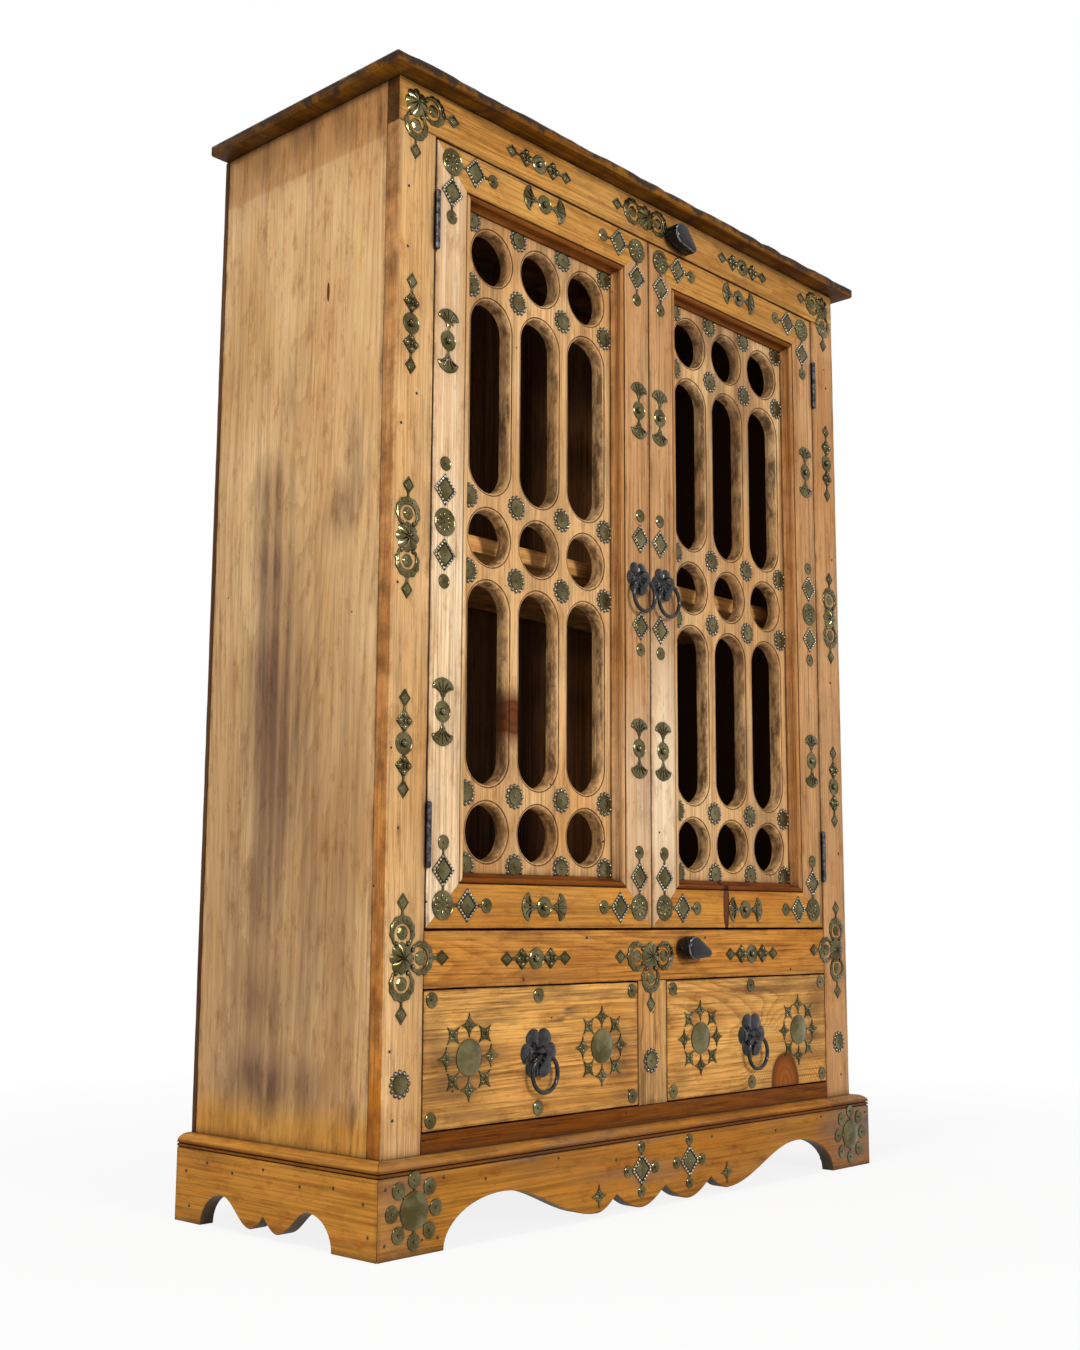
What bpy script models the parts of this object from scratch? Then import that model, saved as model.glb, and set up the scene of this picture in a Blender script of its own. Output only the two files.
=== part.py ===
"""Pine bookcase with two grilled doors above two drawers, on a scalloped plinth.

Units are metres, +Z is up and -Y is the front. The origin is on the floor, in the middle of the
bookcase's outer box.
"""
import math

import bmesh
import bpy
from mathutils import Matrix, Vector

# Clearances
JOINT_GAP = 0.0003
RUNNING_GAP = 0.002
DOOR_GAP = 0.003
BORE_GAP = 0.0006
WELD_DISTANCE = 0.000001
FLAT_ANGLE = math.radians(0.1)
SMOOTH_ANGLE = math.radians(40)

# Carcass
BODY_WIDTH = 1.148
BODY_DEPTH = 0.419
FLOOR_CLEARANCE = 0.068
BOTTOM_RAIL_HEIGHT = 0.082
DRAWER_OPENING_HEIGHT = 0.192
MIDDLE_RAIL_HEIGHT = 0.079
DOOR_OPENING_HEIGHT = 1.163
TOP_RAIL_HEIGHT = 0.068
STILE_WIDTH = 0.074
DIVIDER_WIDTH = 0.071
FACE_FRAME_THICKNESS = 0.026
SIDE_THICKNESS = 0.022
BACK_THICKNESS = 0.010
FLOOR_THICKNESS = 0.022
SHELF_THICKNESS = 0.026
SHELF_SETBACK = 0.080
SHELF_ABOVE_FLOOR = 0.574
HOUSING_DEPTH = 0.008
GUIDE_HEIGHT = 0.040
GUIDE_BOARD_THICKNESS = 0.030

# Cornice and plinth
CORNICE_THICKNESS = 0.018
CORNICE_OVERHANG = 0.031
CORNICE_ROUND = 0.010
PLINTH_HEIGHT = 0.1226
PLINTH_THICKNESS = 0.024
PLINTH_ROUND = 0.012
ROUND_STEPS = 3
ROUND_PROFILE = 0.5
LOBE_STEPS = 6

# Scallop of the front plinth, measured from its middle and from its ends
FRONT_FOOT_LENGTH = 0.120
FRONT_ARCH_RUN = 0.113
FRONT_ARCH_HEIGHT = 0.063
FRONT_LOBE_LENGTH = 0.118
FRONT_LOBE_HEIGHT = 0.005
FRONT_NOTCH_HEIGHT = 0.027
FRONT_LAST_LOBE_RUN = 0.045
FRONT_LAST_LOBE_HEIGHT = 0.008

# Scallop of the side plinths
SIDE_FRONT_FOOT_LENGTH = 0.0905
SIDE_BACK_FOOT_LENGTH = 0.0615
SIDE_ARCH_RUN = 0.050
SIDE_ARCH_HEIGHT = 0.046
SIDE_NOTCH_HEIGHT = 0.029
SIDE_LOBE_RUN = 0.030
SIDE_LOBE_HEIGHT = 0.009

# Doors
DOOR_THICKNESS = 0.036
FRAME_FLAT = 0.062
BEAD_RADIUS = 0.005
BEAD_QUIRK = 0.004
BEAD_STEPS = 6
COVE_WIDTH = 0.006
COVE_START = 0.010
PANEL_RECESS = 0.020
PANEL_THICKNESS = 0.022
REBATE_LAP = 0.010

# Door grille
GRILLE_RIM_WIDTH = 0.0065
GRILLE_RIM_DEPTH = 0.0065
GRILLE_SIDE_MARGIN = 0.01275
GRILLE_END_MARGIN = 0.0135
GRILLE_ROW_BAR = 0.017
GRILLE_COLUMN_BAR = 0.016
GRILLE_COLUMNS = 3
HOLE_STEPS = 20

# Hinges
HINGE_LENGTH = 0.089
HINGE_INSET = 0.084
KNUCKLES = 5
KNUCKLE_GAP = 0.0004
KNUCKLE_RADIUS = 0.0045
KNUCKLE_BORE = 0.0029
HINGE_PIN_RADIUS = 0.0024
HINGE_HEAD_RADIUS = 0.0036
HINGE_HEAD_HEIGHT = 0.0015
LEAF_THICKNESS = 0.0009
LEAF_DEPTH = 0.026
HINGE_STEPS = 12

# Drawers
DRAWER_FRONT_THICKNESS = 0.025
DRAWER_BACK_SPACE = 0.0384
DRAWER_TOP_SPACE = 0.0217
DRAWER_SIDE_THICKNESS = 0.012
DRAWER_BOTTOM_THICKNESS = 0.008
DRAWER_BOTTOM_RAISE = 0.006

# Ring pulls
RING_OUTER_RADIUS = 0.0300
RING_WIRE_RADIUS = 0.0032
RING_STEPS = 24
WIRE_STEPS = 8
EYE_RADIUS = 0.0075
EYE_WIRE_RADIUS = 0.0022
EYE_STANDOFF = 0.014
ROSETTE_THICKNESS = 0.003
ROSETTE_DOME_HEIGHT = 0.004
ROSETTE_DOME_RADIUS = 0.015
ROSETTE_PETALS = 6
PETAL_STEPS = 4
PETAL_DEPTH = 0.12
DOOR_ROSETTE_RADIUS = 0.0285
DRAWER_ROSETTE_RADIUS = 0.0375
DOOR_PULL_ABOVE_FLOOR = 0.568
DRAWER_PULL_ABOVE_OPENING = 0.094

# Turn buttons
BUTTON_HEAD_RADIUS = 0.019
BUTTON_TIP_RADIUS = 0.007
BUTTON_TAIL = 0.036
BUTTON_DEPTH = 0.032
BUTTON_EDGE = 0.004
BUTTON_HUB_RADIUS = 0.012
BUTTON_STANDOFF = 0.006
BUTTON_STEM_RADIUS = 0.006
BUTTON_STEM_LENGTH = 0.020
BUTTON_STEPS = 24
TOP_BUTTON_X = 0.060
TOP_BUTTON_ABOVE_DOORS = 0.024
TOP_BUTTON_TILT = math.radians(30)
BOTTOM_BUTTON_X = 0.078
BOTTOM_BUTTON_BELOW_DOORS = 0.029
BOTTOM_BUTTON_TILT = math.radians(13)

# Places that follow from the sizes above
DRAWERS_BOTTOM = FLOOR_CLEARANCE + BOTTOM_RAIL_HEIGHT
DRAWERS_TOP = DRAWERS_BOTTOM + DRAWER_OPENING_HEIGHT
DOORS_BOTTOM = DRAWERS_TOP + MIDDLE_RAIL_HEIGHT
DOORS_TOP = DOORS_BOTTOM + DOOR_OPENING_HEIGHT
CARCASS_TOP = DOORS_TOP + TOP_RAIL_HEIGHT
HALF_WIDTH = BODY_WIDTH / 2
HALF_OPENING = HALF_WIDTH - STILE_WIDTH
FRONT = (max(CORNICE_OVERHANG, BUTTON_DEPTH) - BODY_DEPTH) / 2
BACK = FRONT + BODY_DEPTH
FRAME_BACK = FRONT + FACE_FRAME_THICKNESS + JOINT_GAP
INNER_BACK = BACK - BACK_THICKNESS - JOINT_GAP
INNER_HALF = HALF_WIDTH - SIDE_THICKNESS
HOUSED_HALF = INNER_HALF + HOUSING_DEPTH - JOINT_GAP
SHELF_BOTTOM = DOORS_BOTTOM + SHELF_ABOVE_FLOOR
DOOR_WIDTH = HALF_OPENING - DOOR_GAP - DOOR_GAP / 2
DOOR_HEIGHT = DOOR_OPENING_HEIGHT - 2 * DOOR_GAP
DOOR_MIDDLE_X = DOOR_GAP / 2 + DOOR_WIDTH / 2
DOOR_MIDDLE_Z = DOORS_BOTTOM + DOOR_OPENING_HEIGHT / 2
MOULDING_EDGE = FRAME_FLAT + 2 * BEAD_RADIUS + COVE_WIDTH
REBATE_EDGE = MOULDING_EDGE - REBATE_LAP
GRILLE_WIDTH = DOOR_WIDTH - 2 * MOULDING_EDGE - 2 * GRILLE_SIDE_MARGIN
GRILLE_HEIGHT = DOOR_HEIGHT - 2 * MOULDING_EDGE - 2 * GRILLE_END_MARGIN
GRILLE_COLUMN_PITCH = (GRILLE_WIDTH + GRILLE_COLUMN_BAR) / GRILLE_COLUMNS
GRILLE_RIM_RADIUS = (GRILLE_COLUMN_PITCH - GRILLE_COLUMN_BAR) / 2
GRILLE_HOLE_RADIUS = GRILLE_RIM_RADIUS - GRILLE_RIM_WIDTH
GRILLE_CIRCLE_PITCH = GRILLE_HEIGHT / 2 - GRILLE_RIM_RADIUS
GRILLE_SLOT_LENGTH = GRILLE_CIRCLE_PITCH - 2 * GRILLE_RIM_RADIUS - 2 * GRILLE_ROW_BAR
HINGE_X = HALF_OPENING - DOOR_GAP / 2
HINGE_Y = FRONT - KNUCKLE_RADIUS - JOINT_GAP
DRAWER_MIDDLE_X = (HALF_OPENING + DIVIDER_WIDTH / 2) / 2
DRAWER_HALF_WIDTH = (HALF_OPENING - DIVIDER_WIDTH / 2) / 2 - RUNNING_GAP
DRAWER_BOX_FRONT = FRONT + DRAWER_FRONT_THICKNESS + JOINT_GAP
DRAWER_BOX_BACK = INNER_BACK - DRAWER_BACK_SPACE
DRAWER_BOX_BOTTOM = DRAWERS_BOTTOM + JOINT_GAP
DRAWER_BOX_TOP = DRAWERS_TOP - DRAWER_TOP_SPACE
SIDES = (("left", -1), ("right", 1))

for leftover in list(bpy.data.objects):
    bpy.data.objects.remove(leftover)

PARTS = bpy.data.collections.new("bookcase")
CUTTERS = bpy.data.collections.new("cutters")
bpy.context.scene.collection.children.link(PARTS)
bpy.context.scene.collection.children.link(CUTTERS)


def make_material(name, colour, roughness, metallic):
    """A plain finish: colour, roughness and metallic value."""
    material = bpy.data.materials.new(name)
    material.use_nodes = True
    shader = material.node_tree.nodes["Principled BSDF"]
    shader.inputs["Base Color"].default_value = (*colour, 1.0)
    shader.inputs["Roughness"].default_value = roughness
    shader.inputs["Metallic"].default_value = metallic
    return material


PINE = make_material("honey_pine", (0.52, 0.29, 0.12), 0.5, 0.0)
INNER_PINE = make_material("inner_pine", (0.36, 0.20, 0.09), 0.7, 0.0)
IRON = make_material("wrought_iron", (0.05, 0.05, 0.055), 0.5, 0.9)
EBONY = make_material("dark_hardwood", (0.02, 0.018, 0.018), 0.3, 0.0)


# Shape helpers


def mesh_from(build, name):
    """Close a bmesh into a named mesh with outward faces."""
    bmesh.ops.recalc_face_normals(build, faces=build.faces)
    mesh = bpy.data.meshes.new(name)
    build.to_mesh(mesh)
    build.free()
    return mesh


def box_mesh(name, size):
    """A box of the given size around its own middle."""
    build = bmesh.new()
    bmesh.ops.create_cube(build, size=1.0, matrix=Matrix.Diagonal((*size, 1.0)))
    return mesh_from(build, name)


def loft_into(build, rings):
    """Skin a stack of rings that have the same number of points, and cap both ends."""
    loops = [[build.verts.new(point) for point in ring] for ring in rings]
    count = len(rings[0])
    for lower, upper in zip(loops, loops[1:]):
        for index in range(count):
            following = (index + 1) % count
            build.faces.new((lower[index], lower[following], upper[following], upper[index]))
    build.faces.new(loops[0])
    build.faces.new(loops[-1])


def stadium(radius, half_straight, steps):
    """Points of a circle stretched along its second axis by a straight run."""
    points = []
    for index in range(steps):
        angle = 2 * math.pi * (index + 0.5) / steps
        stretch = half_straight if angle < math.pi else -half_straight
        points.append((radius * math.cos(angle), radius * math.sin(angle) + stretch))
    return points


def turned_rings(profile, steps, axis):
    """Rings of a turned shape: profile is (radius, height) pairs along the given axis, Y or Z."""
    rings = []
    for radius, height in profile:
        flat = stadium(radius, 0.0, steps)
        if axis == "Z":
            rings.append([Vector((u, v, height)) for u, v in flat])
        else:
            rings.append([Vector((u, height, v)) for u, v in flat])
    return rings


def turned_mesh(name, profile, steps, axis="Z"):
    """A closed turned shape."""
    build = bmesh.new()
    loft_into(build, turned_rings(profile, steps, axis))
    return mesh_from(build, name)


def plate_mesh(name, outline, thickness):
    """A flat plate from an outline in the XZ plane, with its middle plane at Y = 0."""
    curve = bpy.data.curves.new(name, "CURVE")
    curve.dimensions = "2D"
    curve.fill_mode = "BOTH"
    curve.extrude = thickness / 2
    spline = curve.splines.new("POLY")
    spline.points.add(len(outline) - 1)
    for point, (x, z) in zip(spline.points, outline):
        point.co = (x, z, 0.0, 1.0)
    spline.use_cyclic_u = True
    drawn = bpy.data.objects.new(name, curve)
    CUTTERS.objects.link(drawn)
    evaluated = drawn.evaluated_get(bpy.context.evaluated_depsgraph_get())
    mesh = bpy.data.meshes.new_from_object(evaluated)
    bpy.data.objects.remove(drawn)
    build = bmesh.new()
    build.from_mesh(mesh)
    bmesh.ops.remove_doubles(build, verts=build.verts, dist=WELD_DISTANCE)
    bmesh.ops.dissolve_limit(build, angle_limit=FLAT_ANGLE, verts=build.verts, edges=build.edges)
    bmesh.ops.rotate(build, verts=build.verts, matrix=Matrix.Rotation(math.pi / 2, 3, "X"))
    return mesh_from(build, name)


def edit_mesh(mesh, change):
    """Apply a bmesh change to a mesh."""
    build = bmesh.new()
    build.from_mesh(mesh)
    change(build)
    bmesh.ops.recalc_face_normals(build, faces=build.faces)
    build.to_mesh(mesh)
    build.free()


def trim(mesh, point, normal):
    """Cut away what lies beyond a plane and close the cut."""
    def change(build):
        everything = build.verts[:] + build.edges[:] + build.faces[:]
        bmesh.ops.bisect_plane(build, geom=everything, dist=WELD_DISTANCE, plane_co=point,
                               plane_no=normal, clear_outer=True)
        open_edges = [edge for edge in build.edges if edge.is_boundary]
        bmesh.ops.holes_fill(build, edges=open_edges, sides=0)
    edit_mesh(mesh, change)


def round_edges(mesh, wanted, width):
    """Round the edges that the test accepts."""
    def change(build):
        edges = [edge for edge in build.edges if wanted(edge)]
        bmesh.ops.bevel(build, geom=edges, offset=width, segments=ROUND_STEPS,
                         profile=ROUND_PROFILE, affect="EDGES")
    edit_mesh(mesh, change)


def add_empty(name, location):
    """A pivot that carries the pieces that move together."""
    empty = bpy.data.objects.new(name, None)
    empty.location = location
    PARTS.objects.link(empty)
    return empty


def add_piece(name, mesh, material, location, tilt=0.0, parent=None):
    """Place a piece, turned about Y by tilt, on the world or on its pivot."""
    piece = bpy.data.objects.new(name, mesh)
    mesh.materials.append(material)
    PARTS.objects.link(piece)
    piece.location = location
    if parent:
        piece.parent = parent
        piece.location = Vector(location) - parent.location
    piece.rotation_euler = (0.0, tilt, 0.0)
    return piece


def board(name, low, high, material, parent=None):
    """A plain board between two corners."""
    low = Vector(low)
    high = Vector(high)
    return add_piece(name, box_mesh(name, high - low), material, (low + high) / 2, parent=parent)


def add_cutter(name, mesh, location, tilt=0.0):
    """A guide solid that takes part in a Boolean and isn't a piece."""
    cutter = bpy.data.objects.new(name, mesh)
    CUTTERS.objects.link(cutter)
    cutter.location = location
    cutter.rotation_euler = (0.0, tilt, 0.0)
    cutter.hide_render = True
    cutter.display_type = "WIRE"
    return cutter


def combine(piece, cutter, operation):
    """Join a guide solid to a piece, or cut it out of the piece."""
    modifier = piece.modifiers.new(cutter.name, "BOOLEAN")
    modifier.operation = operation
    modifier.solver = "EXACT"
    modifier.object = cutter


def smooth(piece):
    """Shade a round piece smooth and keep its sharp edges."""
    piece.data.shade_smooth()
    piece.data.set_sharp_from_angle(angle=SMOOTH_ANGLE)


# Carcass


def build_sides():
    """Side panels, with housings for the boards that they carry."""
    housings = (
        ("deck", DRAWERS_BOTTOM - FLOOR_THICKNESS, DRAWERS_BOTTOM, FRAME_BACK),
        ("floor", DOORS_BOTTOM - FLOOR_THICKNESS, DOORS_BOTTOM, FRAME_BACK),
        ("shelf", SHELF_BOTTOM, SHELF_BOTTOM + SHELF_THICKNESS, FRONT + SHELF_SETBACK),
    )
    for side, sign in SIDES:
        inner, outer = sorted((sign * INNER_HALF, sign * HALF_WIDTH))
        panel = board(f"{side}_side_panel", (inner, FRAME_BACK, FLOOR_CLEARANCE),
                      (outer, INNER_BACK, CARCASS_TOP), PINE)
        for name, low, high, front in housings:
            size = (2 * HOUSING_DEPTH, BODY_DEPTH, high - low + 2 * JOINT_GAP)
            middle = (sign * INNER_HALF, front - JOINT_GAP + BODY_DEPTH / 2, (low + high) / 2)
            cutter = add_cutter(f"{side}_{name}_housing", box_mesh("housing", size), middle)
            combine(panel, cutter, "DIFFERENCE")


def build_face_frame():
    """Stiles, rails and the divider between the drawers."""
    frame_back = FRONT + FACE_FRAME_THICKNESS
    for side, sign in SIDES:
        inner, outer = sorted((sign * HALF_OPENING, sign * HALF_WIDTH))
        board(f"{side}_front_stile", (inner, FRONT, FLOOR_CLEARANCE),
              (outer, frame_back, DOORS_TOP - JOINT_GAP), PINE)
    half_rail = HALF_OPENING - JOINT_GAP
    top_rail = board("top_rail", (-HALF_WIDTH, FRONT, DOORS_TOP), (HALF_WIDTH, frame_back, CARCASS_TOP), PINE)
    middle_rail = board("middle_rail", (-half_rail, FRONT, DRAWERS_TOP),
                        (half_rail, frame_back, DOORS_BOTTOM), PINE)
    board("bottom_rail", (-half_rail, FRONT, FLOOR_CLEARANCE), (half_rail, frame_back, DRAWERS_BOTTOM), PINE)
    bore_radius = BUTTON_STEM_RADIUS + BORE_GAP
    bore_profile = ((bore_radius, -BUTTON_STEM_LENGTH), (bore_radius, BUTTON_STEM_LENGTH + JOINT_GAP))
    buttons = (("top", top_rail, top_button_spot()), ("bottom", middle_rail, bottom_button_spot()))
    for name, rail, spot in buttons:
        bore = add_cutter(f"{name}_button_bore", turned_mesh("bore", bore_profile, BUTTON_STEPS, "Y"), spot)
        combine(rail, bore, "DIFFERENCE")


def build_divider():
    """The post between the drawers, with the board behind it that guides them."""
    half_post = DIVIDER_WIDTH / 2
    half_guide = GUIDE_BOARD_THICKNESS / 2
    depth = INNER_BACK - FRONT
    plan = [
        (-half_post, 0.0),
        (half_post, 0.0),
        (half_post, FACE_FRAME_THICKNESS),
        (half_guide, FACE_FRAME_THICKNESS),
        (half_guide, depth),
        (-half_guide, depth),
        (-half_guide, FACE_FRAME_THICKNESS),
        (-half_post, FACE_FRAME_THICKNESS),
    ]
    height = DRAWER_OPENING_HEIGHT - 2 * JOINT_GAP
    mesh = plate_mesh("drawer_divider", plan, height)
    mesh.transform(Matrix.Rotation(-math.pi / 2, 4, "X"))
    add_piece("drawer_divider", mesh, PINE, (0.0, FRONT, DRAWERS_BOTTOM + DRAWER_OPENING_HEIGHT / 2))


def build_inner_boards():
    """Drawer deck, drawer guides, cupboard floor, shelf and back."""
    board("drawer_deck", (-HOUSED_HALF, FRAME_BACK, DRAWERS_BOTTOM - FLOOR_THICKNESS),
          (HOUSED_HALF, INNER_BACK, DRAWERS_BOTTOM), INNER_PINE)
    board("cupboard_floor", (-HOUSED_HALF, FRAME_BACK, DOORS_BOTTOM - FLOOR_THICKNESS),
          (HOUSED_HALF, INNER_BACK, DOORS_BOTTOM), INNER_PINE)
    board("shelf", (-HOUSED_HALF, FRONT + SHELF_SETBACK, SHELF_BOTTOM),
          (HOUSED_HALF, INNER_BACK, SHELF_BOTTOM + SHELF_THICKNESS), INNER_PINE)
    board("back_panel", (-HALF_WIDTH, BACK - BACK_THICKNESS, FLOOR_CLEARANCE),
          (HALF_WIDTH, BACK, CARCASS_TOP), INNER_PINE)
    guide_bottom = DRAWERS_BOTTOM + JOINT_GAP
    for side, sign in SIDES:
        inner, outer = sorted((sign * HALF_OPENING, sign * (INNER_HALF - JOINT_GAP)))
        board(f"{side}_drawer_guide", (inner, FRAME_BACK, guide_bottom),
              (outer, INNER_BACK, guide_bottom + GUIDE_HEIGHT), INNER_PINE)


def build_cornice():
    """The top board, which overhangs the front and both sides with a rounded upper edge."""
    width = BODY_WIDTH + 2 * CORNICE_OVERHANG
    depth = BODY_DEPTH + CORNICE_OVERHANG
    mesh = box_mesh("cornice_board", (width, depth, CORNICE_THICKNESS))
    top = CORNICE_THICKNESS / 2

    def rounded(edge):
        on_top = all(vertex.co.z > top - WELD_DISTANCE for vertex in edge.verts)
        at_back = all(vertex.co.y > 0 for vertex in edge.verts)
        return on_top and not at_back

    round_edges(mesh, rounded, CORNICE_ROUND)
    bottom = CARCASS_TOP + JOINT_GAP
    add_piece("cornice_board", mesh, PINE, (0.0, BACK - depth / 2, bottom + top))


# Plinth


def quarter(start, end, steps, rise_first):
    """Points after start along a quarter of an ellipse to end."""
    points = []
    for index in range(1, steps + 1):
        angle = math.pi / 2 * index / steps
        fast = math.sin(angle)
        slow = 1 - math.cos(angle)
        along, up = (slow, fast) if rise_first else (fast, slow)
        points.append((start[0] + (end[0] - start[0]) * along, start[1] + (end[1] - start[1]) * up))
    return points


def ogee(start, end, steps):
    """Points after start along an S curve to end, level at both ends."""
    points = []
    for index in range(1, steps + 1):
        share = index / steps
        ease = (1 - math.cos(math.pi * share)) / 2
        points.append((start[0] + (end[0] - start[0]) * share, start[1] + (end[1] - start[1]) * ease))
    return points


def front_scallop(half_length):
    """Half of the front plinth's lower edge, from its middle notch to the end of its foot."""
    notch = (0.0, FRONT_NOTCH_HEIGHT)
    lobe = (FRONT_LOBE_LENGTH / 2, FRONT_LOBE_HEIGHT)
    second_notch = (FRONT_LOBE_LENGTH, FRONT_NOTCH_HEIGHT)
    last_lobe = (FRONT_LOBE_LENGTH + FRONT_LAST_LOBE_RUN, FRONT_LAST_LOBE_HEIGHT)
    foot = (half_length - FRONT_FOOT_LENGTH, 0.0)
    arch = (foot[0] - FRONT_ARCH_RUN, FRONT_ARCH_HEIGHT)
    points = [notch]
    points += quarter(notch, lobe, LOBE_STEPS, True)
    points += quarter(lobe, second_notch, LOBE_STEPS, False)
    points += quarter(second_notch, last_lobe, LOBE_STEPS, True)
    points += ogee(last_lobe, arch, 2 * LOBE_STEPS)
    points += quarter(arch, foot, 2 * LOBE_STEPS, False)
    points.append((half_length, 0.0))
    return points


def side_scallop(middle, foot_inner):
    """Half of a side plinth's lower edge, from its middle notch to the inner end of a foot."""
    notch = (middle, SIDE_NOTCH_HEIGHT)
    toward = 1 if foot_inner > middle else -1
    lobe = (middle + toward * SIDE_LOBE_RUN, SIDE_LOBE_HEIGHT)
    foot = (foot_inner, 0.0)
    arch = (foot_inner - toward * SIDE_ARCH_RUN, SIDE_ARCH_HEIGHT)
    points = [notch]
    points += quarter(notch, lobe, LOBE_STEPS, True)
    points += ogee(lobe, arch, LOBE_STEPS)
    points += quarter(arch, foot, LOBE_STEPS, False)
    return points


def plinth_board(name, outline):
    """A plinth board along X, with its outer face towards -Y and a rounded upper edge."""
    mesh = plate_mesh(name, outline, PLINTH_THICKNESS)

    def rounded(edge):
        return all(vertex.co.z > PLINTH_HEIGHT - WELD_DISTANCE and vertex.co.y < 0 for vertex in edge.verts)

    round_edges(mesh, rounded, PLINTH_ROUND)
    return mesh


def build_plinth():
    """Three scalloped boards, mitred at the front corners."""
    reach = PLINTH_THICKNESS + JOINT_GAP
    half_thickness = PLINTH_THICKNESS / 2
    half_length = HALF_WIDTH + reach
    mitre_slip = JOINT_GAP / math.sqrt(2)

    right_half = front_scallop(half_length)
    left_half = [(-x, z) for x, z in reversed(right_half[1:])]
    outline = left_half + right_half + [(half_length, PLINTH_HEIGHT), (-half_length, PLINTH_HEIGHT)]
    mesh = plinth_board("plinth_front", outline)
    for sign in (-1, 1):
        trim(mesh, (sign * (half_length - mitre_slip), -half_thickness, 0.0), (sign, 1.0, 0.0))
    add_piece("plinth_front", mesh, PINE, (0.0, FRONT - JOINT_GAP - half_thickness, 0.0))

    length = BODY_DEPTH + reach
    front_foot = SIDE_FRONT_FOOT_LENGTH
    back_foot = length - SIDE_BACK_FOOT_LENGTH
    middle = (front_foot + back_foot) / 2
    front_half = list(reversed(side_scallop(middle, front_foot)[1:]))
    lower_edge = [(0.0, 0.0)] + front_half + side_scallop(middle, back_foot) + [(length, 0.0)]
    for side, sign in SIDES:
        run = [(sign * along, z) for along, z in lower_edge]
        outline = run + [(sign * length, PLINTH_HEIGHT), (0.0, PLINTH_HEIGHT)]
        mesh = plinth_board(f"plinth_{side}", outline)
        trim(mesh, (sign * mitre_slip, -half_thickness, 0.0), (-sign, 1.0, 0.0))
        mesh.transform(Matrix.Rotation(sign * math.pi / 2, 4, "Z"))
        place = (sign * (HALF_WIDTH + JOINT_GAP + half_thickness), FRONT - reach, 0.0)
        add_piece(f"plinth_{side}", mesh, PINE, place)


# Doors


def frame_section():
    """Section of a door frame member: distance from its outer edge, and depth behind its face."""
    points = [(0.0, 0.0), (FRAME_FLAT, 0.0)]
    bead_middle = FRAME_FLAT + BEAD_RADIUS
    for index in range(BEAD_STEPS + 1):
        angle = math.pi - math.pi * index / BEAD_STEPS
        across = bead_middle + BEAD_RADIUS * math.cos(angle)
        points.append((across, BEAD_QUIRK - BEAD_RADIUS * math.sin(angle)))
    points.append((FRAME_FLAT + 2 * BEAD_RADIUS, COVE_START))
    points.append((MOULDING_EDGE, PANEL_RECESS - JOINT_GAP))
    points.append((REBATE_EDGE, PANEL_RECESS - JOINT_GAP))
    points.append((REBATE_EDGE, DOOR_THICKNESS))
    points.append((0.0, DOOR_THICKNESS))
    return points


def frame_member_mesh(name, length):
    """A moulded member along Z with mitred ends. Its outer edge is at X = 0 and its face at Y = 0."""
    mesh = plate_mesh(name, frame_section(), length)
    mesh.transform(Matrix.Rotation(-math.pi / 2, 4, "X"))
    slip = length / 2 - JOINT_GAP / math.sqrt(2)
    trim(mesh, (0.0, 0.0, slip), (1.0, 0.0, 1.0))
    trim(mesh, (0.0, 0.0, -slip), (1.0, 0.0, -1.0))
    return mesh


def grille_mesh(name, width, height):
    """The pierced panel: three columns of round and long holes with bevelled rims."""
    half = PANEL_THICKNESS / 2
    slot_straight = GRILLE_SLOT_LENGTH / 2 - GRILLE_RIM_RADIUS
    profile = ((GRILLE_RIM_RADIUS, -2 * half), (GRILLE_RIM_RADIUS, -half),
               (GRILLE_HOLE_RADIUS, -half + GRILLE_RIM_DEPTH), (GRILLE_HOLE_RADIUS, 2 * half))
    build = bmesh.new()
    for column in range(GRILLE_COLUMNS):
        for row in (-2, -1, 0, 1, 2):
            straight = slot_straight if row % 2 else 0.0
            across = (column - (GRILLE_COLUMNS - 1) / 2) * GRILLE_COLUMN_PITCH
            up = row * GRILLE_CIRCLE_PITCH / 2
            rings = []
            for radius, depth in profile:
                flat = stadium(radius, straight, HOLE_STEPS)
                rings.append([Vector((across + u, depth, up + v)) for u, v in flat])
            loft_into(build, rings)
    holes = mesh_from(build, "grille_holes")
    return box_mesh(name, (width, PANEL_THICKNESS, height)), holes


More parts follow.
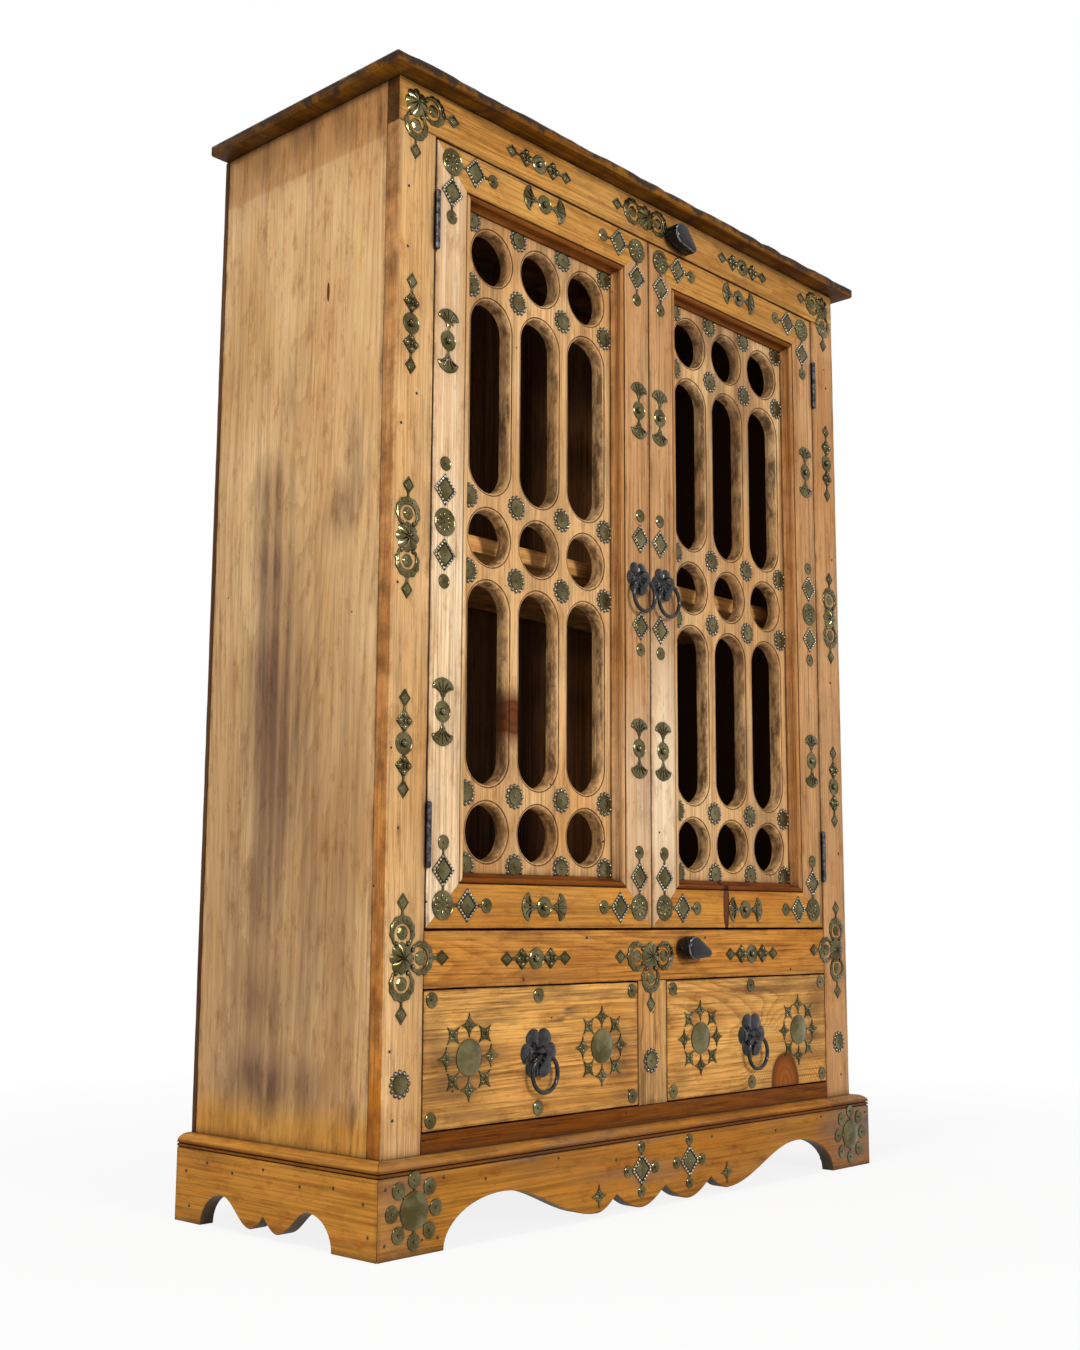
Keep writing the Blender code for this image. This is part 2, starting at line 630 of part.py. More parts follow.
def build_door(side, sign):
    """A mitred, moulded frame around a pierced panel, on a pivot at its hinges."""
    pivot = add_empty(f"{side}_door_pivot", (sign * HINGE_X, HINGE_Y, DOOR_MIDDLE_Z))
    middle_x = sign * DOOR_MIDDLE_X
    half_width = DOOR_WIDTH / 2
    half_height = DOOR_HEIGHT / 2
    hinge_turn = 0.0 if sign < 0 else math.pi
    members = (
        ("hinge_stile", DOOR_HEIGHT, (middle_x + sign * half_width, DOOR_MIDDLE_Z), hinge_turn),
        ("meeting_stile", DOOR_HEIGHT, (middle_x - sign * half_width, DOOR_MIDDLE_Z), math.pi - hinge_turn),
        ("top_rail", DOOR_WIDTH, (middle_x, DOOR_MIDDLE_Z + half_height), math.pi / 2),
        ("bottom_rail", DOOR_WIDTH, (middle_x, DOOR_MIDDLE_Z - half_height), -math.pi / 2),
    )
    for member, length, (x, z), turn in members:
        name = f"{side}_door_{member}"
        piece = add_piece(name, frame_member_mesh(name, length), PINE, (x, FRONT, z), turn, pivot)
        smooth(piece)
    name = f"{side}_door_grille"
    inset = 2 * (REBATE_EDGE + JOINT_GAP)
    panel_mesh, holes_mesh = grille_mesh(name, DOOR_WIDTH - inset, DOOR_HEIGHT - inset)
    place = (middle_x, FRONT + PANEL_RECESS + PANEL_THICKNESS / 2, DOOR_MIDDLE_Z)
    grille = add_piece(name, panel_mesh, PINE, place, parent=pivot)
    combine(grille, add_cutter(f"{side}_grille_holes", holes_mesh, place), "DIFFERENCE")
    return pivot


# Hinges


def leaf_outline(own_first):
    """A hinge leaf seen from its side: its far edge, then a comb of tabs that reach its knuckles."""
    pitch = HINGE_LENGTH / KNUCKLES
    tab_end = (KNUCKLE_RADIUS + KNUCKLE_BORE) / 2
    comb_root = KNUCKLE_RADIUS + 2 * JOINT_GAP
    points = [(LEAF_DEPTH, -HINGE_LENGTH / 2), (LEAF_DEPTH, HINGE_LENGTH / 2)]
    for index in reversed(range(KNUCKLES)):
        low = -HINGE_LENGTH / 2 + index * pitch
        own = (index % 2 == 0) == own_first
        reach = tab_end if own else comb_root
        trim_off = KNUCKLE_GAP if own else -KNUCKLE_GAP
        upper = low + pitch - (trim_off if index < KNUCKLES - 1 else 0.0)
        lower = low + (trim_off if index > 0 else 0.0)
        points.append((reach, upper))
        points.append((reach, lower))
    return points


def build_hinge_leaf(name, own_first, offset, axis, parent):
    """One leaf in the gap beside the door, with its share of the knuckles on the axis."""
    mesh = plate_mesh(name, leaf_outline(own_first), LEAF_THICKNESS)
    mesh.transform(Matrix.Rotation(math.pi / 2, 4, "Z"))
    mesh.transform(Matrix.Translation((offset, 0.0, 0.0)))
    leaf = add_piece(name, mesh, IRON, axis, parent=parent)
    pitch = HINGE_LENGTH / KNUCKLES
    knuckle_build = bmesh.new()
    for index in range(KNUCKLES):
        if (index % 2 == 0) == own_first:
            low = -HINGE_LENGTH / 2 + index * pitch + KNUCKLE_GAP / 2
            high = low + pitch - KNUCKLE_GAP
            profile = ((KNUCKLE_RADIUS, low), (KNUCKLE_RADIUS, high))
            loft_into(knuckle_build, turned_rings(profile, HINGE_STEPS, "Z"))
    knuckles = add_cutter(f"{name}_knuckles", mesh_from(knuckle_build, "knuckles"), axis)
    combine(leaf, knuckles, "UNION")
    bore_profile = ((KNUCKLE_BORE, -HINGE_LENGTH), (KNUCKLE_BORE, HINGE_LENGTH))
    bore = add_cutter(f"{name}_bore", turned_mesh("hinge_bore", bore_profile, HINGE_STEPS), axis)
    combine(leaf, bore, "DIFFERENCE")


def build_hinges(side, sign, pivot):
    """Two butt hinges in the gap between a stile and its door, with their pins."""
    half_inset = DOOR_HEIGHT / 2 - HINGE_INSET - HINGE_LENGTH / 2
    leaf_offset = DOOR_GAP / 2 - JOINT_GAP - LEAF_THICKNESS / 2
    head_start = HINGE_LENGTH / 2 + JOINT_GAP
    pin_profile = [
        (HINGE_HEAD_RADIUS, head_start + HINGE_HEAD_HEIGHT),
        (HINGE_HEAD_RADIUS, head_start),
        (HINGE_PIN_RADIUS, head_start),
    ]
    pin_profile += [(radius, -height) for radius, height in reversed(pin_profile)]
    for level, up in (("upper", 1), ("lower", -1)):
        axis = (sign * HINGE_X, HINGE_Y, DOOR_MIDDLE_Z + up * half_inset)
        name = f"{side}_{level}_hinge"
        build_hinge_leaf(f"{name}_frame_leaf", True, sign * leaf_offset, axis, None)
        build_hinge_leaf(f"{name}_door_leaf", False, -sign * leaf_offset, axis, pivot)
        pin = add_piece(f"{name}_pin", turned_mesh("pin", pin_profile, HINGE_STEPS), IRON, axis)
        smooth(pin)


# Drawers


def build_drawer(side, sign):
    """A drawer box that slides on the deck, behind a flush front."""
    pivot = add_empty(f"{side}_drawer_slide", (sign * DRAWER_MIDDLE_X, FRONT, DRAWERS_BOTTOM))
    middle = sign * DRAWER_MIDDLE_X
    left = middle - DRAWER_HALF_WIDTH
    right = middle + DRAWER_HALF_WIDTH
    front_back = FRONT + DRAWER_FRONT_THICKNESS
    inner_left = left + DRAWER_SIDE_THICKNESS + JOINT_GAP
    inner_right = right - DRAWER_SIDE_THICKNESS - JOINT_GAP
    bottom_low = DRAWER_BOX_BOTTOM + DRAWER_BOTTOM_RAISE
    bottom_high = bottom_low + DRAWER_BOTTOM_THICKNESS
    board(f"{side}_drawer_front", (left, FRONT, DRAWERS_BOTTOM + RUNNING_GAP),
          (right, front_back, DRAWERS_TOP - RUNNING_GAP), PINE, pivot)
    board(f"{side}_drawer_left_side", (left, DRAWER_BOX_FRONT, DRAWER_BOX_BOTTOM),
          (left + DRAWER_SIDE_THICKNESS, DRAWER_BOX_BACK, DRAWER_BOX_TOP), INNER_PINE, pivot)
    board(f"{side}_drawer_right_side", (right - DRAWER_SIDE_THICKNESS, DRAWER_BOX_FRONT, DRAWER_BOX_BOTTOM),
          (right, DRAWER_BOX_BACK, DRAWER_BOX_TOP), INNER_PINE, pivot)
    back_front = DRAWER_BOX_BACK - DRAWER_SIDE_THICKNESS
    board(f"{side}_drawer_back", (inner_left, back_front, bottom_high + JOINT_GAP),
          (inner_right, DRAWER_BOX_BACK, DRAWER_BOX_TOP), INNER_PINE, pivot)
    board(f"{side}_drawer_bottom", (inner_left, DRAWER_BOX_FRONT, bottom_low),
          (inner_right, DRAWER_BOX_BACK, bottom_high), INNER_PINE, pivot)
    return pivot


# Ring pulls and turn buttons


def rosette_outline(radius):
    """A flower with round petals."""
    count = ROSETTE_PETALS * PETAL_STEPS
    points = []
    for index in range(count):
        angle = 2 * math.pi * index / count
        petal = abs(math.cos(ROSETTE_PETALS * angle / 2))
        reach = radius * (1 - PETAL_DEPTH + PETAL_DEPTH * petal)
        points.append((reach * math.cos(angle), reach * math.sin(angle)))
    return points


def torus_mesh(name, middle_radius, wire_radius):
    """A round wire ring about Z."""
    bpy.ops.mesh.primitive_torus_add(major_radius=middle_radius, minor_radius=wire_radius,
                                     major_segments=RING_STEPS, minor_segments=WIRE_STEPS)
    made = bpy.context.object
    mesh = made.data
    mesh.name = name
    bpy.data.objects.remove(made)
    return mesh


def build_ring_pull(name, x, z, radius, parent):
    """A flower plate with an eye, and the ring that hangs in it."""
    plate_back = FRONT - JOINT_GAP
    mesh = plate_mesh(f"{name}_rosette", rosette_outline(radius), ROSETTE_THICKNESS)
    plate_middle = plate_back - ROSETTE_THICKNESS / 2
    rosette = add_piece(f"{name}_rosette", mesh, IRON, (x, plate_middle, z), parent=parent)
    dome_profile = (
        (EYE_RADIUS, plate_back - ROSETTE_THICKNESS - ROSETTE_DOME_HEIGHT),
        (ROSETTE_DOME_RADIUS, plate_back - ROSETTE_THICKNESS / 2),
    )
    dome_profile = [(wide, depth - plate_middle) for wide, depth in dome_profile]
    dome_mesh = turned_mesh("dome", dome_profile, HINGE_STEPS, "Y")
    dome = add_cutter(f"{name}_dome", dome_mesh, (x, plate_middle, z))
    combine(rosette, dome, "UNION")
    eye_mesh = torus_mesh("eye", EYE_RADIUS, EYE_WIRE_RADIUS)
    eye_mesh.transform(Matrix.Rotation(math.pi / 2, 4, "Y"))
    eye = add_cutter(f"{name}_eye", eye_mesh, (x, FRONT - EYE_STANDOFF, z))
    combine(rosette, eye, "UNION")
    seat = EYE_RADIUS - EYE_WIRE_RADIUS - RING_WIRE_RADIUS - JOINT_GAP
    axis = (x, FRONT - EYE_STANDOFF, z - seat)
    pivot = add_empty(f"{name}_ring_pivot", Vector(axis) - parent.location)
    pivot.parent = parent
    middle_radius = RING_OUTER_RADIUS - RING_WIRE_RADIUS
    ring_mesh = torus_mesh(f"{name}_ring", middle_radius, RING_WIRE_RADIUS)
    ring_mesh.transform(Matrix.Rotation(math.pi / 2, 4, "X"))
    ring_mesh.transform(Matrix.Translation((0.0, 0.0, -middle_radius)))
    ring = add_piece(f"{name}_ring", ring_mesh, IRON, (0.0, 0.0, 0.0))
    ring.parent = pivot
    smooth(ring)


def top_button_spot():
    """Pivot of the button on the top rail, on the face frame's front."""
    return Vector((TOP_BUTTON_X, FRONT, DOORS_TOP + TOP_BUTTON_ABOVE_DOORS))


def bottom_button_spot():
    """Pivot of the button on the middle rail, on the face frame's front."""
    return Vector((BOTTOM_BUTTON_X, FRONT, DOORS_BOTTOM - BOTTOM_BUTTON_BELOW_DOORS))


def teardrop(shrink):
    """A round head and a narrower tip along +X, joined by straight flanks."""
    head = BUTTON_HEAD_RADIUS - shrink
    tip = BUTTON_TIP_RADIUS - shrink
    flank = math.acos((BUTTON_HEAD_RADIUS - BUTTON_TIP_RADIUS) / BUTTON_TAIL)
    points = []
    half = BUTTON_STEPS // 2
    for index in range(half):
        angle = flank + (2 * math.pi - 2 * flank) * index / (half - 1)
        points.append((head * math.cos(angle), head * math.sin(angle)))
    for index in range(half):
        angle = -flank + 2 * flank * index / (half - 1)
        points.append((BUTTON_TAIL + tip * math.cos(angle), tip * math.sin(angle)))
    return points


def build_button(name, spot, tilt):
    """A carved turn button on a hub, with a stem that turns in the rail."""
    layers = (
        (BUTTON_EDGE / 2, -BUTTON_STANDOFF),
        (0.0, -BUTTON_STANDOFF - BUTTON_EDGE / 2),
        (0.0, -BUTTON_DEPTH + BUTTON_EDGE),
        (BUTTON_EDGE, -BUTTON_DEPTH),
    )
    build = bmesh.new()
    loft_into(build, [[Vector((u, depth, v)) for u, v in teardrop(shrink)] for shrink, depth in layers])
    button = add_piece(name, mesh_from(build, name), EBONY, spot, tilt)
    stem_profile = (
        (BUTTON_HUB_RADIUS, -BUTTON_STANDOFF - BUTTON_EDGE),
        (BUTTON_HUB_RADIUS, -JOINT_GAP),
        (BUTTON_STEM_RADIUS, -JOINT_GAP),
        (BUTTON_STEM_RADIUS, BUTTON_STEM_LENGTH),
    )
    stem = add_cutter(f"{name}_stem", turned_mesh("stem", stem_profile, BUTTON_STEPS, "Y"), spot, tilt)
    combine(button, stem, "UNION")


build_sides()
build_face_frame()
build_divider()
build_inner_boards()
build_cornice()
build_plinth()
for side_name, side_sign in SIDES:
    door_pivot = build_door(side_name, side_sign)
    build_hinges(side_name, side_sign, door_pivot)
    pull_x = side_sign * (DOOR_GAP / 2 + FRAME_FLAT / 2)
    build_ring_pull(f"{side_name}_door_pull", pull_x, DOORS_BOTTOM + DOOR_PULL_ABOVE_FLOOR,
                    DOOR_ROSETTE_RADIUS, door_pivot)
    drawer_pivot = build_drawer(side_name, side_sign)
    build_ring_pull(f"{side_name}_drawer_pull", side_sign * DRAWER_MIDDLE_X,
                    DRAWERS_BOTTOM + DRAWER_PULL_ABOVE_OPENING, DRAWER_ROSETTE_RADIUS, drawer_pivot)
build_button("top_turn_button", top_button_spot(), TOP_BUTTON_TILT)
build_button("bottom_turn_button", bottom_button_spot(), BOTTOM_BUTTON_TILT)
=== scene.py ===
"""Looks of a pine bookcase: worn boards, moulded doors, iron fittings and pressed brass trim.

Units are metres, +Z is up and -Y is the front, as in the frame that it loads. Brass stamps are
drawn in millimetres on the face that they are nailed to.
"""
import math

import bmesh
import bpy
from mathutils import Euler, Matrix, Vector, noise


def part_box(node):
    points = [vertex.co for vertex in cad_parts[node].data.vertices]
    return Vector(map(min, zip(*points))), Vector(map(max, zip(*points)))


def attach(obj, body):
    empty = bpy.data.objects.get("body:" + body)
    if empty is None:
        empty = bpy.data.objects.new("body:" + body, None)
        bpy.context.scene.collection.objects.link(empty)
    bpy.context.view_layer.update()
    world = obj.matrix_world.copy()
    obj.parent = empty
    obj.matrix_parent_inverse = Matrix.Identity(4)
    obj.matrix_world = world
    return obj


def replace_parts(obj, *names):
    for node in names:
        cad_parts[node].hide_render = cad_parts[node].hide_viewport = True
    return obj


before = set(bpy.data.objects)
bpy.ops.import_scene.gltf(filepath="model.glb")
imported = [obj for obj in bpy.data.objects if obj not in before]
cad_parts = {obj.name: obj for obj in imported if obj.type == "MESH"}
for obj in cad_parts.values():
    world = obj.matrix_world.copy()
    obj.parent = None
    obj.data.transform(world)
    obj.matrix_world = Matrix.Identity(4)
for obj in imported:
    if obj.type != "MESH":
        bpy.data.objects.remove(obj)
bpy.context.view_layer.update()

MM = 0.001
SIDES = (("left", -1), ("right", 1))
WELD = 0.00001
SKIN = 2 * MM

# Places read from the frame
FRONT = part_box("left_front_stile")[0].y
POST_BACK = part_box("left_front_stile")[1].y
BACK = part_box("back_panel")[1].y
BACK_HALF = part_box("back_panel")[1].x
HALF_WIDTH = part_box("right_front_stile")[1].x
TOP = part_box("cornice_board")[1].z
PLINTH_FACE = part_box("plinth_front")[0].y
PLINTH_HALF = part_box("plinth_front")[1].x
PLINTH_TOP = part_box("plinth_front")[1].z
PLINTH_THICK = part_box("plinth_front")[1].y - PLINTH_FACE
GRILLE_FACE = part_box("left_door_grille")[0].y
DOORS_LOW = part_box("right_door_hinge_stile")[0].z
DOORS_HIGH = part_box("right_door_hinge_stile")[1].z
DOOR_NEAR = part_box("right_door_meeting_stile")[0].x
DOOR_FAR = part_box("right_door_hinge_stile")[1].x
DOOR_X = (DOOR_NEAR + DOOR_FAR) / 2
DOOR_Z = (DOORS_LOW + DOORS_HIGH) / 2
DRAWER_X = sum(corner.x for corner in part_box("right_drawer_front")) / 2
DRAWER_Z = sum(corner.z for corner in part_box("right_drawer_front")) / 2

# Linear colours of the finishes
SIDE_PINE = (0.715, 0.475, 0.235)
PALE_PINE = (0.69, 0.45, 0.215)
BONE_PINE = (0.92, 0.73, 0.500)
TAN_PINE = (0.54, 0.308, 0.140)
HONEY_PINE = (0.59, 0.32, 0.085)
DRAWER_PINE = (0.71, 0.390, 0.108)
POST_PINE = (0.68, 0.40, 0.155)
AMBER_PINE = (0.425, 0.185, 0.026)
FLANK_PINE = (0.56, 0.260, 0.040)
RAIL_PINE = (0.57, 0.255, 0.048)
# Painted light: the shelf is paler than the other inner boards, standing in for light on its front edge
LIT_SHELF_PINE = (0.88, 0.47, 0.150)
DEEP_PINE = (0.54, 0.250, 0.046)
ROSE_PINE = (0.71, 0.450, 0.213)
DARK_PINE = (0.20, 0.060, 0.002)
TOP_PINE = (0.24, 0.098, 0.006)
# Painted shade: the inside of the case, its back included, is given near-black pine
SHADED_INNER_PINE = (0.075, 0.038, 0.015)
SHADED_BACK_PINE = (0.105, 0.047, 0.017)
BOX_PINE = (0.34, 0.20, 0.085)
UNDER_GREY_AND_SHADE = (0.075, 0.058, 0.042)
END_BROWN_AND_UNDER_SHADE = (0.052, 0.016, 0.001)
CHIP_TAN = (0.30, 0.215, 0.14)
ARRIS_BLACK = (0.028, 0.017, 0.011)
RIM_BROWN = (0.085, 0.042, 0.020)
KNOT_BROWN = (0.13, 0.040, 0.012)
KNOT_RED = (0.31, 0.085, 0.008)
KNOT_DARK = (0.130, 0.036, 0.009)
STAIN_GREY = (0.20, 0.115, 0.055)
STAIN_BROWN = (0.115, 0.060, 0.028)
PATINA = (0.165, 0.086, 0.048)
FOOT_GREY = (0.190, 0.128, 0.098)
RED_STAIN = (0.150, 0.055, 0.025)
EDGE_BROWN = (0.075, 0.033, 0.012)
# Dark brown of worm holes and grime, also used as painted shade in corners and joints
GRIME_AND_SHADE = (0.030, 0.015, 0.008)
WHITE = (1.0, 1.0, 1.0)
FLOOR_GREY = (0.70, 0.70, 0.70)

# Tints, which multiply the colour below them
LATE_WOOD = (0.46, 0.34, 0.28)
WARM_PALE = (1.12, 1.11, 1.10)
WARM_DEEP = (0.80, 0.63, 0.45)
SCUFF_TINT = (0.60, 0.48, 0.38)
RETURN_TAN = (1.00, 0.84, 0.72)
RETURN_AMBER = (0.80, 0.44, 0.08)
END_SHADE = (0.20, 0.15, 0.13)
BAND_TINT = (0.88, 0.77, 0.66)
FOOT_TINT = (0.98, 0.78, 0.36)
REED_TINT = (0.45, 0.33, 0.22)
STILE_MOULDING = (0.90, 0.79, 0.62)
RAIL_MOULDING = (0.37, 0.23, 0.12)
PLANK_DARK = (0.78, 0.74, 0.70)
PLANK_PALE = (1.15, 1.15, 1.12)
# Lifts the back's outer face out of the dark tone painted as shade on its inside
BACK_OUTSIDE_LIFT = (2.5, 2.6, 2.8)

# Layers of noise in the wood: stretch, with the grain along Z, then scale, detail and roughness
LAYERS = {
    "bend": ((1.0, 1.0, 0.16), 4.5, 2.0, 0.5),
    "wave": ((1.0, 1.0, 0.10), 32.0, 2.0, 0.5),
    "fade": ((14.0, 14.0, 0.9), 1.0, 3.0, 0.5),
    "warmth": ((1.0, 1.0, 0.45), 6.0, 4.0, 0.6),
    "fibre": ((300.0, 300.0, 6.0), 1.0, 4.0, 0.7),
    "cloud": ((9.0, 9.0, 1.7), 1.0, 4.0, 0.62),
    "streak": ((60.0, 60.0, 1.3), 1.0, 3.0, 0.5),
    "torn": ((1.0, 1.0, 0.22), 16.0, 4.0, 0.65),
    "scuff": ((1.0, 1.0, 0.35), 60.0, 5.0, 0.72),
    "rubbed": ((1.0, 1.0, 1.0), 22.0, 4.0, 0.65),
    "return": ((1.0, 1.0, 1.0), 14.0, 3.0, 0.5),
    "rim": ((1.0, 1.0, 0.35), 55.0, 5.0, 0.7),
    "arris": ((1.0, 1.0, 1.0), 26.0, 4.0, 0.65),
    "blotch": ((1.0, 1.0, 1.0), 11.0, 4.0, 0.6),
    "chip": ((1.0, 1.0, 1.0), 42.0, 4.0, 0.65),
}

# Stops of the ramps that bring the patches out of a layer
PATCHES = {
    "fade": ((0.34, 0.05), (0.68, 1.0)),
    "warmth": ((0.32, 0.0), (0.70, 1.0)),
    "cloud": ((0.50, 0.0), (0.72, 1.0)),
    "streak": ((0.54, 0.0), (0.72, 1.0)),
    "scuff": ((0.52, 0.0), (0.70, 1.0)),
    "rubbed": ((0.40, 0.0), (0.66, 1.0)),
    "return": ((0.3, 1.0), (0.7, 0.75)),
    "rim": ((0.42, 0.0), (0.60, 0.85)),
    "blotch": ((0.42, 0.25), (0.60, 1.0)),
    "chip": ((0.54, 0.0), (0.64, 0.75)),
}


# Shader nodes


class Finish:
    """A material with short spellings for its nodes."""

    def __init__(self, name):
        self.material = bpy.data.materials.new(name)
        self.material.use_nodes = True
        self.tree = self.material.node_tree
        self.shader = self.tree.nodes["Principled BSDF"]

    def feed(self, socket, value):
        """Link a socket to another, or set its value."""
        if isinstance(value, bpy.types.NodeSocket):
            self.tree.links.new(value, socket)
        elif socket.type == "RGBA" and len(value) == 3:
            socket.default_value = (*value, 1.0)
        else:
            socket.default_value = value

    def add(self, kind, inputs, **settings):
        """Add a node, set it up and feed its inputs by name or place."""
        node = self.tree.nodes.new(kind)
        for key, value in settings.items():
            setattr(node, key, value)
        for key, value in inputs.items():
            self.feed(node.inputs[key], value)
        return node

    def math(self, operation, first, second=0.0, clamp=False):
        node = self.add("ShaderNodeMath", {0: first, 1: second}, operation=operation, use_clamp=clamp)
        return node.outputs[0]

    def times(self, first, second):
        return self.math("MULTIPLY", first, second)

    def minus(self, first, second):
        return self.math("SUBTRACT", first, second)

    def divided(self, first, second):
        return self.math("DIVIDE", first, second)

    def highest(self, first, second):
        return self.math("MAXIMUM", first, second)

    def vector(self, operation, first, second=(0.0, 0.0, 0.0)):
        node = self.add("ShaderNodeVectorMath", {0: first, 1: second}, operation=operation)
        return node.outputs["Value" if operation == "LENGTH" else "Vector"]

    def total(self, first, *others):
        """The sum of vectors."""
        for other in others:
            first = self.vector("ADD", first, other)
        return first

    def scaled(self, vector, scale):
        node = self.add("ShaderNodeVectorMath", {0: vector, "Scale": scale}, operation="SCALE")
        return node.outputs["Vector"]

    def pointing(self, axis, value):
        """A vector of one length along one axis."""
        return self.add("ShaderNodeCombineXYZ", {axis: value}).outputs[0]

    def mapped(self, vector, location=(0.0, 0.0, 0.0), rotation=(0.0, 0.0, 0.0), scale=(1.0, 1.0, 1.0)):
        inputs = {"Vector": vector, "Location": location, "Rotation": rotation, "Scale": scale}
        return self.add("ShaderNodeMapping", inputs).outputs["Vector"]

    def noise(self, vector, scale, detail=2.0, roughness=0.5):
        inputs = {"Vector": vector, "Scale": scale, "Detail": detail, "Roughness": roughness}
        return self.add("ShaderNodeTexNoise", inputs)

    def layer(self, vector, name, output="Fac"):
        """One of the named layers of noise."""
        stretch, *settings = LAYERS[name]
        return self.noise(self.mapped(vector, scale=stretch), *settings).outputs[output]

    def patches(self, vector, name):
        """A layer of noise through its own ramp."""
        return self.ramp(self.layer(vector, name), *PATCHES[name])

    def wander(self, vector, name, size):
        """Offsets, up to half of size each way, from a layer of noise."""
        offsets = self.vector("SUBTRACT", self.layer(vector, name, "Color"), (0.5, 0.5, 0.5))
        return self.scaled(offsets, size)

    def ramp(self, value, *stops):
        """A grey ramp through (place, level) stops."""
        node = self.add("ShaderNodeValToRGB", {"Fac": value})
        elements = node.color_ramp.elements
        while len(elements) < len(stops):
            elements.new(0.5)
        for element, (place, level) in zip(elements, stops):
            element.position = place
            element.color = (level, level, level, 1.0)
        return node.outputs["Color"]

    def mix(self, share, first, second, blend="MIX"):
        node = self.add("ShaderNodeMix", {}, data_type="RGBA", blend_type=blend)
        self.feed(node.inputs["Factor"], share)
        self.feed(node.inputs["A"], first)
        self.feed(node.inputs["B"], second)
        return node.outputs["Result"]

    def tinted(self, colour, tint, share=1.0):
        """A colour multiplied by a tint, on a share of the surface."""
        return self.mix(share, colour, tint, "MULTIPLY")

    def texture_place(self, name="Object"):
        return self.add("ShaderNodeTexCoord", {}).outputs[name]

    def parts(self, vector):
        return self.add("ShaderNodeSeparateXYZ", {0: vector}).outputs

    def facing(self, axis):
        """How squarely the surface looks along an axis, one way or the other."""
        return self.math("ABSOLUTE", self.parts(self.texture_place("Normal"))[axis])

    def crevices(self, distance):
        """Near 1 where the surface is shut in, and 0 in the open."""
        node = self.add("ShaderNodeAmbientOcclusion", {"Distance": distance}, samples=6)
        return self.minus(1.0, node.outputs["AO"])

    def bump(self, height, strength, distance):
        node = self.add("ShaderNodeBump", {"Height": height, "Strength": strength, "Distance": distance})
        self.feed(self.shader.inputs["Normal"], node.outputs["Normal"])

    def blend(self, output, share, first, second):
        """Mix two shader nodes into an output."""
        node = self.add("ShaderNodeMixShader", {0: share, 1: first.outputs[0], 2: second.outputs[0]})
        self.feed(self.tree.nodes[output].inputs["Surface"], node.outputs[0])

    def surface(self, **values):
        """Feed the shader's own sockets, with spaces in their names written as underscores."""
        for key, value in values.items():
            self.feed(self.shader.inputs[key.replace("_", " ")], value)


# Wood

GRAIN_TURN = {"X": (0.0, -math.pi / 2, 0.0), "Y": (math.pi / 2, 0.0, 0.0), "Z": (0.0, 0.0, 0.0)}
SEED_STEPS = (3.7, 1.9, 7.3)
BEND_SIZE = 0.16
WAVE_SIZE = 0.010
TORN_SIZE = 0.12
RING_WAVE = 0.314
RING_NOISE = {"Distortion": 0.6, "Detail": 2.0, "Detail Scale": 2.0}
RING_STOPS = ((0.0, 0.9), (0.06, 1.0), (0.20, 0.72), (0.55, 0.10), (0.94, 0.0))
HEART_SIDE = 0.035
HEART_DEPTH = 0.055
HEART_SWAY = 0.03
HEART_TURNS = (2.3, 1.7)
KNOT_WAVE = 0.5
KNOT_REACH = 3.2
KNOT_PUSH = 3.0
KNOT_RINGS = 4.0
KNOT_SHADE = 0.3
FIBRE_DARK = 1.25
FIBRE_PALE = 0.42
STREAK_SHARE = 1.5
SCUFF_SHARE = 0.75
WORM_SCALE = 15.0
EDGE_GRIME = 9 * MM
EDGE_SHARE = 0.6
CORNER_REACH = 22 * MM
JOINT_REACH = 3.5 * MM
GRIME_AND_SHADE_SHARE = 0.8
FIBRE_HEIGHT = 0.6
RING_DEPTH = 0.55
WORM_DEPTH = 2.0
WOOD_BUMP = (0.35, 0.6 * MM)
WAX_SHINE = 0.06


def heart_of(seed):
    """How far beside and behind a board the heart of its trunk lies."""
    side = HEART_SIDE * math.sin(seed * HEART_TURNS[0])
    return side, HEART_DEPTH + HEART_SWAY * math.cos(seed * HEART_TURNS[1])


def ellipse_share(wood, local, wide, ellipse, ragged):
    """0 in the middle of an ellipse on the board's face and 1 at its ragged edge."""
    along, across, half_along, half_across = ellipse
    middle = [0.0, 0.0, along]
    middle[wide] = across
    spread = [0.0, 0.0, 1.0 / half_along]
    spread[wide] = 1.0 / half_across
    offset = wood.vector("SUBTRACT", wood.total(local, ragged), middle)
    return wood.vector("LENGTH", wood.vector("MULTIPLY", offset, spread))


def soiled_and_shaded(wood, colour, local, seeded, reach, wide):
    """Dirt along the board's edges, and grime with painted shade where other pieces shut it in; reach is
    half the board's size.
    """
    far = wood.parts(wood.vector("ABSOLUTE", local))
    from_side = wood.minus(reach[wide], far[wide])
    from_end = wood.minus(reach[2], far[2])
    from_edge = wood.divided(wood.math("MINIMUM", from_side, from_end), EDGE_GRIME)
    rim = wood.times(wood.ramp(from_edge, (0.0, 1.0), (1.0, 0.0)), wood.patches(seeded, "rubbed"))
    colour = wood.mix(wood.times(rim, EDGE_SHARE), colour, EDGE_BROWN)
    # Painted shade: ambient occlusion darkens the corners and joints that other pieces shut in, with
    # some grime in the joints
    shut = wood.ramp(wood.crevices(CORNER_REACH), (0.20, 0.0), (0.62, 1.0))
    outlined = wood.ramp(wood.crevices(JOINT_REACH), (0.12, 0.0), (0.42, 0.9))
    return wood.mix(wood.times(wood.highest(shut, outlined), GRIME_AND_SHADE_SHARE), colour, GRIME_AND_SHADE)


